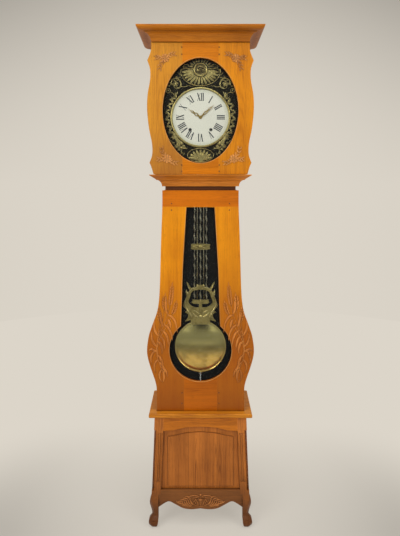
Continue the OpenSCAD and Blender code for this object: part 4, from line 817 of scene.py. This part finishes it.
rope = Finish("rope_fibre")
lay = (rope.axis(rope.place(), "Z") * 900).maths("SINE") * 0.5 + 0.5
fuzz = rope.mottle(rope.place(), 2600, 2.0)
dress(rope.body(rope.mix(lay * 0.5 + fuzz * 0.4, tone(150, 126, 88), tone(92, 72, 46)), 0.9,
                Normal=rope.bump(0.8, 0.0006, lay + fuzz * 0.4)), "going_rope", "strike_rope")


# The hinges: cast brass leaves that turn on pins, two to each door, let into the right-hand side of the case.
# Three steel screws with low heads hold each leaf of the case.
hinge_brass = metal("hinge_brass", (188, 150, 76), (96, 70, 34), 0.36, 0.6)
for node in ["case_hinges", "hood_door_hinges", "waist_door_hinges"]:
    refined(node, hinge_brass)
for name, board, foot in [("hood_low", "hood_side_right", 1.719), ("hood_high", "hood_side_right", 2.077),
                          ("waist_low", "waist_side_right", 0.607),
                          ("waist_high", "waist_side_right", 1.4135)]:
    low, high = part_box(board)
    screws = Repeat("hinge_screws_" + name, Count=3, Pitch=0.021, Foot=foot, Leaf=high[0] + 0.0016,
                    Depth=low[1] + 0.016, Radius=0.0032)
    heads = screws.row(screws.stud(16, 0.0022), screws.size("Leaf"), (0, math.radians(90), 0))
    screws.finish(heads, steel, "case", "polished_steel")


# The dial: a domed enamel plate with fired black numerals, inside a surround of thin pressed brass.
# The surround's scrolls, leaves and shells are chased from one sheet and darkened in the hollows.
dial_low, dial_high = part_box("dial")
dial_z = (dial_low[2] + dial_high[2]) * 500
dial_r = dial_high[0] * 1000
sheet_face = dial_high[1] * 1000
enamel = Finish("fired_enamel")
veil = enamel.mottle(enamel.place(), 14, 3.0)
from_middle = enamel.node("ShaderNodeVectorMath", {"operation": "DISTANCE"},
                          [enamel.place(), (0.0, -0.06, dial_low[2] + 0.128)], "Value")
white = enamel.mix(veil * 0.35, tone(235, 228, 217), tone(223, 215, 201))
white = enamel.mix(from_middle.between(0.108, 0.129) * 0.5, white, tone(206, 204, 176))
refined("dial", enamel.body(white, veil * 0.08 + 0.12, Coat_Weight=0.5, Coat_Roughness=0.06,
                            Normal=enamel.bump(0.05, 0.0005, enamel.mottle(enamel.place(), 180, 1.0))),
        50)


def dial_skin(r):
    """How far forward the enamel stands at a distance from its middle, in mm."""
    return sheet_face - 2 - 3 * (1 - (r / dial_r) ** 2)


def stroke_on_dial(shape, corners, angle):
    """Adds a flat stroke of a numeral, by corners in mm beside and along the line from the dial's middle."""
    loops = []
    for lift in (0.35, -0.14):
        loops.append([corner(shape, v * math.sin(angle) + u * math.cos(angle), dial_skin(v) + lift,
                             dial_z + v * math.cos(angle) - u * math.sin(angle)) for u, v in corners])
    skin(shape, loops)


ink = Finish("fired_black")
black_ink = ink.body(ink.mix(ink.mottle(ink.place(), 240, 2.0), tone(24, 26, 34), tone(50, 52, 60)), 0.3)
numerals = bmesh.new()
letter_widths = {"I": 7.6, "V": 17.5, "X": 17.5}
foot, head = 75.5, 110.0
for hour, text in enumerate(["XII", "I", "II", "III", "IIII", "V", "VI", "VII", "VIII", "IX", "X", "XI"]):
    angle = math.radians(30 * hour)
    u = -sum(letter_widths[letter] for letter in text) / 2
    for letter in text:
        w = letter_widths[letter]
        bars = {"I": [(w / 2, w / 2, 2.3)], "V": [(w / 2, 3.2, 2.4), (w / 2, w - 2.6, 0.8)],
                "X": [(w - 3.2, 3.2, 2.4), (2.6, w - 2.6, 0.8)]}[letter]
        for low, high, half in bars:
            serif = half + 1.3
            strokes = [(low, high, half, foot, head), (high, high, serif, head - 0.4, head + 0.8)]
            if letter != "V":
                strokes.append((low, low, serif, foot - 0.8, foot + 0.4))
            for start, end, reach, inner, outer in strokes:
                stroke_on_dial(numerals, [(u + start - reach, inner), (u + start + reach, inner),
                                          (u + end + reach, outer), (u + end - reach, outer)], angle)
        u += w
finish_carving("numerals", numerals, "case", black_ink, smooth=False)

marks = Repeat("minute_marks", Count=60, Radius=0.119, Dot=0.0006, Depth=(dial_skin(119) - 0.05) / 1000,
               Height=dial_z / 1000)
circle = marks.node("GeometryNodeMeshCircle", None, {"Vertices": marks.size("Count"),
                                                     "Radius": marks.size("Radius")})
dot = marks.node("GeometryNodeMeshIcoSphere", None, {"Radius": marks.size("Dot"), "Subdivisions": 1})
marks.finish(marks.upright(marks.copies(circle, dot)), black_ink, "case", "enamel")

hand_brass = metal("hand_brass", (196, 164, 96), (136, 106, 56), 0.3, 0.3)
for node in ["hour_hand", "minute_hand"]:
    refined(node, hand_brass, 30)

holes = bmesh.new()
for side in (1, -1):
    ring = around(side * 47, dial_z - 56.5, 6.6, 6.6, count=12)
    carve(holes, ring, 2.4, 0.5, dial_skin(73), "band", sink=0.6)
finish_carving("winding_hole_rings", holes, "case", black_ink)

pressed = metal("pressed_brass", (232, 208, 136), (20, 16, 10), 0.26, 0.35, 60, hollow=0.006,
                depth_patina_and_shade=((sheet_face - 1.5) / 1000, (sheet_face - 8.5) / 1000))
refined("dial_surround", pressed, 40)
relief = bmesh.new()
rim_r = 139
boss_r = 31
boss_z = dial_z + 216
fan_z = boss_z - 4
fan_half = 88
fan_drop = fan_z - (dial_z + rim_r + 5)
shell_half = 57
shell_z = dial_z - 173


def chased(sign, x, z, angle, length, width, rise, form="leaf", crease=0.42, bend=0.0):
    """Chases one leaf or petal into the sheet, from a point and at an angle in degrees, on one side."""
    a = math.radians(angle)
    middle = (x + 0.5 * length * math.cos(a) - bend * math.sin(a),
              z + 0.5 * length * math.sin(a) + bend * math.cos(a))
    tip = (x + length * math.cos(a), z + length * math.sin(a))
    path = [(sign * px, pz) for px, pz in ((x, z), middle, tip)]
    carve(relief, path, width, rise, sheet_face, form, crease=crease)


def rib(root, tip, width, rise):
    """Chases one rib of the fan or the shell into the sheet."""
    middle = ((root[0] + tip[0]) / 2, (root[1] + tip[1]) / 2)
    carve(relief, [root, middle, tip], width, rise, sheet_face, "petal", crease=0.42)


for k in range(14):
    a = math.radians(180 * (k + 0.5) / 14)
    rib((28 * math.cos(a), boss_z - 28 * math.sin(a)),
        (0.97 * fan_half * math.cos(a), fan_z - 0.97 * fan_drop * math.sin(a)), 16 - 5 * math.sin(a), 9.4)
for k in range(9):
    a = math.radians(10 + 20 * k)
    rib((shell_half * 0.12 * math.cos(a), shell_z - shell_half * 0.38),
        (shell_half * 0.95 * math.cos(a), shell_z + shell_half * (0.8 * math.sin(a) - 0.3)),
        14.5 - 3 * math.sin(a), 9.6)
for k in range(7):
    a = 198 + 24 * k
    chased(1, 0, shell_z - shell_half * 0.4, a, 22 + 10 * abs(math.cos(math.radians(a))), 6.0, 7.0, "petal",
           0.3)
for side, turn, label in both_sides:
    for path, width, rise in [
            (around(0, fan_z, fan_half + 3, fan_drop + 1.5, 4, -90, 10), 5.0, 10.5),
            ([(29, fan_z + 7), (50, fan_z + 9), (72, fan_z + 8), (86, fan_z + 5), (91, fan_z - 4)],
             5.0, 10.5),
            (around(0, shell_z, shell_half + 2, 31, -90, 90), 4.8, 9.4),
            (around(147, dial_z + 122, 9.4, 9.4), 4.0, 7.0)]:
        carve(relief, turn(path), width, rise, sheet_face, "band")
    for width, path in [
            (7.4, [(136, 146), (131, 168), (114, 178), (97, 170), (89, 152), (94, 136), (108, 131),
                   (119, 137), (121, 147)]),
            (5.0, [(90, 140), (74, 138), (56, 143), (36, 141), (18, 145)]),
            (5.6, [(60, -141), (84, -140), (100, -124), (110, -104), (124, -92), (138, -94)]),
            (5.0, [(150, 108), (138, 114), (124, 108), (120, 96), (128, 90), (134, 97)]),
            (4.2, [(52, 236), (66, 240), (78, 232), (76, 222), (68, 222)]),
            (4.6, [(146, -98), (132, -110), (118, -124), (104, -142), (88, -158)])]:
        scroll = [(x, dial_z + z) for x, z in path]
        carve(relief, turn(scroll), width, 8.8, sheet_face, "stem", crease=0)
    bead(relief, side * 147, dial_z + 122, 5.0, 6.5, sheet_face)
    bead(relief, side * 114, dial_z + 152, 5.4, 9.0, sheet_face)
    for k in range(5):
        chased(side, 114, dial_z + 152, 72 * k + 18, 15.5, 11, 6.8, "petal", 0.35)
        chased(side, 84 + 9 * k, dial_z + 205 - 14 * k, 62 - 16 * k, 25 - k, 8.2, 7.4, bend=2.5)
        chased(side, 80 + 8 * k, dial_z + 196 - 13 * k, -6 + 6 * k, 19, 7.4, 6.8, bend=-2)
    for k in range(9):
        odd = k % 2
        for out, ahead, lean, length, width, rise, bend in [
                (1, 0, 42, 21, 9.8, 8.4 + odd, 2.0), (1, 0, -30, 18, 9.4, 7.4 + odd, -2.0),
                (12, 5, 70, 16, 7.4, 8.0, 2.5), (12, 5, -4, 15, 7.0, 7.2, -1.5),
                (21, 2, 96, 17, 6.6, 7.6, 3)]:
            a = -54 + 11.5 * k
            at = math.radians(a + ahead)
            chased(side, (rim_r + out) * math.cos(at), dial_z + (rim_r + out) * math.sin(at), a + lean,
                   length, width, rise, bend=bend)
    for x, z, angle, length, width, rise, crease, bend in [
            (82, -127, 58, 76, 21, 8.2, 0.25, -7), (72, -126, -48, 31, 15, 7.4, 0.35, 0),
            (92, -112, -52, 35, 18, 8.4, 0.35, 0)]:
        chased(side, x, dial_z + z, angle, length, width, rise, crease=crease, bend=bend)
    for k in range(4):
        chased(side, 116 - 12 * k, dial_z - 116 - 15 * k, -12 - 9 * k, 24 - 2 * k, 9, 7.6, bend=2)
        chased(side, 110 - 12 * k, dial_z - 122 - 13 * k, -78 + 6 * k, 19, 8, 7.0, bend=-2)
        chased(side, 130 + 4 * k, dial_z + 168 - 13 * k, 24 - 14 * k, 18, 7.6, 7.2, bend=2)
    for k in range(6):
        a = 80 - 15.5 * k
        at = math.radians(a)
        chased(side, (boss_r + 3) * math.cos(at), boss_z + (boss_r + 3) * math.sin(at), a - 4,
               34 - 3 * abs(k - 2.5), 8.6, 7.2 + k % 2, bend=2)
finish_carving("surround_relief", relief, "case", pressed)

cup_brass = metal("cup_brass", (120, 104, 66), (24, 20, 12), 0.18, 0.5, 60)
for name, material, profile in [
        ("surround_boss_ring", pressed, [(31.5, -0.5), (31.5, 11.0), (30.6, 13.0), (29.0, 13.9), (27.2, 13.4),
                                         (26.2, 11.4), (25.8, 9.6), (25.4, 9.6), (0, 9.6)]),
        ("surround_boss_cup", cup_brass, [(25.6, 9.0), (25.0, 10.6), (23.6, 10.9), (22.6, 10.2), (19.0, 10.0),
                                          (14.0, 10.6), (11.0, 12.0), (9.5, 13.4), (7.0, 14.8), (3.5, 15.6),
                                          (0, 15.8)])]:
    boss = bmesh.new()
    turned(boss, 0, boss_z, [(r, sheet_face - rise) for r, rise in profile], 64)
    finish_carving(name, boss, "case", material)


# The pendulum: a lyre of pressed brass over a broad domed bob, hung from plain rods and twisted strips.
# Cast crossbars tie the rods together, and a nut on the screw below the bob sets the rate.
# Painted light: the bob's upper part is painted paler, for the light and reflection its top shows.
bob_brass = metal("bob_brass", (240, 196, 110), (140, 108, 50), 0.14, 0.5, 20, 2.0,
                  painted_light_on_top=(0.74, 0.82, (196, 180, 118)))
lyre_brass = metal("lyre_brass", (196, 174, 108), (70, 54, 26), 0.30, 0.5, 50, 4.0, hollow=0.007)
strip_brass = metal("strip_brass", (198, 188, 160), (96, 84, 60), 0.25, 0.4, 60, 6.0)
bob_low, bob_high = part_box("pendulum_bob")
bob_r = (bob_high[0] - bob_low[0]) * 500
bob_y = (bob_low[1] + bob_high[1]) * 500
half_thick = (bob_high[1] - bob_low[1]) * 500
dome = 0.955
lip = 3.4


def bob_lift(share):
    """How far the bob's skin stands from its middle plane, in mm, at a share of its radius."""
    if share < dome:
        return lip + (half_thick - lip) * (1 - (share / dome) ** 2)
    return lip + 1.6 * math.sin(0.8 * math.pi * (share - dome) / (1 - dome))


shares = [dome * k / 22 for k in range(1, 22)] + [dome + (1 - dome) * k / 8 for k in range(9)]
front = [(bob_r * share, bob_y - bob_lift(share)) for share in shares]
back = [(r, 2 * bob_y - y) for r, y in reversed(front)]
lens = bmesh.new()
turned(lens, 0, (bob_low[2] + bob_high[2]) * 500,
       [(0, bob_y - half_thick), *front, *back, (0, bob_y + half_thick)], 128)
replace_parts(finish_carving("bob_dome", lens, "pendulum", bob_brass), "pendulum_bob")

rod_low, rod_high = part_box("pendulum_rods")
rod_y = (rod_low[1] + rod_high[1]) / 2
for label, x, top in [("left", -0.028, rod_high[2]), ("middle", 0.0, 1.8022), ("right", 0.028, rod_high[2])]:
    twist = Repeat("twisted_strip_" + label, Foot=rod_low[2], Top=top, Place=x, Depth=rod_y, Width=0.0088,
                   Thick=0.0018, Pitch=0.090)
    line = twist.node("GeometryNodeCurvePrimitiveLine", None, {
        "Start": twist.vector(twist.size("Place"), twist.size("Depth"), twist.size("Foot")),
        "End": twist.vector(twist.size("Place"), twist.size("Depth"), twist.size("Top"))})
    fine = twist.node("GeometryNodeResampleCurve", None, {"Curve": line, "Count": 240})
    rise = twist.node("ShaderNodeSeparateXYZ", None, {0: twist.node("GeometryNodeInputPosition")}, 2)
    lean = twist.maths("MULTIPLY", twist.maths("DIVIDE", rise, twist.size("Pitch")), 2 * math.pi)
    tilted = twist.node("GeometryNodeSetCurveTilt", None, {"Curve": fine, "Tilt": lean})
    section = twist.node("GeometryNodeCurvePrimitiveQuadrilateral", None, {
        "Width": twist.size("Width"), "Height": twist.size("Thick")})
    bar = twist.node("GeometryNodeCurveToMesh", None, {"Curve": tilted, "Profile Curve": section,
                                                       "Fill Caps": True})
    twist.finish(bar, strip_brass, "pendulum", "pendulum_brass")
plain = bmesh.new()
for x in (-15, 15):
    rod = around(x, rod_y * 1000, 3, 3)[:-1]
    skin(plain, [[corner(plain, px, py, z * 1000) for px, py in rod] for z in (rod_low[2], rod_high[2])])
plain_rods = finish_carving("plain_rods", plain, "pendulum", strip_brass)
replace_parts(plain_rods, "pendulum_rods")

refined("pendulum_bars", lyre_brass, 30)
refined("pendulum_lyre", lyre_brass, 30)
refined("rating_nut", steel, 30)
thread = Repeat("rate_thread", Count=18, Foot=0.6375, Pitch=0.0018, Radius=0.0042, Depth=rod_y)
thread.finish(thread.row(thread.stud(20, 0.0032, 0.0016)), steel, "pendulum", "polished_steel")

lyre_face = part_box("pendulum_lyre")[0][1] * 1000
ornament = bmesh.new()
for side, turn, label in both_sides:
    for path, width in [([(40, 934), (48, 952), (62, 970), (72, 992), (70, 1016), (60, 1040)], 9),
                        ([(60, 1040), (50, 1058), (36, 1070), (18, 1074), (8, 1086)], 7),
                        ([(48, 1062), (56, 1076), (64, 1094)], 6), ([(10, 936), (26, 944), (40, 960)], 9),
                        ([(8, 952), (20, 962), (34, 968)], 7), ([(58, 1044), (66, 1054), (64, 1066)], 8)]:
        carve(ornament, turn(path), width, 2.6, lyre_face, sink=0.6)
    bead(ornament, side * 14, 1084, 4.5, 3.0, lyre_face)
    bead(ornament, side * 52, 950, 3.5, 3.0, lyre_face)
bead(ornament, 0, 940, 7, 3.5, lyre_face)
finish_carving("lyre_ornament", ornament, "pendulum",
               metal("lyre_relief", (236, 214, 146), (104, 84, 44), 0.24, 0.5, 50, 4.0))
bar_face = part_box("pendulum_bars")[0][1] * 1000
ties = bmesh.new()
for side, turn, label in both_sides:
    carve(ties, turn([(8, 1263), (20, 1268), (32, 1262), (42, 1270)]), 10, 3.0, bar_face, sink=0.6)
    carve(ties, turn([(8, 1262), (20, 1256), (32, 1262), (42, 1255)]), 9, 3.0, bar_face, sink=0.6)
bead(ties, 0, 1263, 11, 5, bar_face)
finish_carving("crossbar_ornament", ties, "pendulum", lyre_brass)
pearls = Repeat("bead_column", Count=9, Foot=0.962, Pitch=0.0066, Radius=0.0032, Depth=lyre_face / 1000)
pearl = pearls.node("GeometryNodeMeshUVSphere", None, {"Segments": 12, "Rings": 8,
                                                       "Radius": pearls.size("Radius")})
pearls.finish(pearls.row(pearl), lyre_brass, "pendulum", "pendulum_brass")
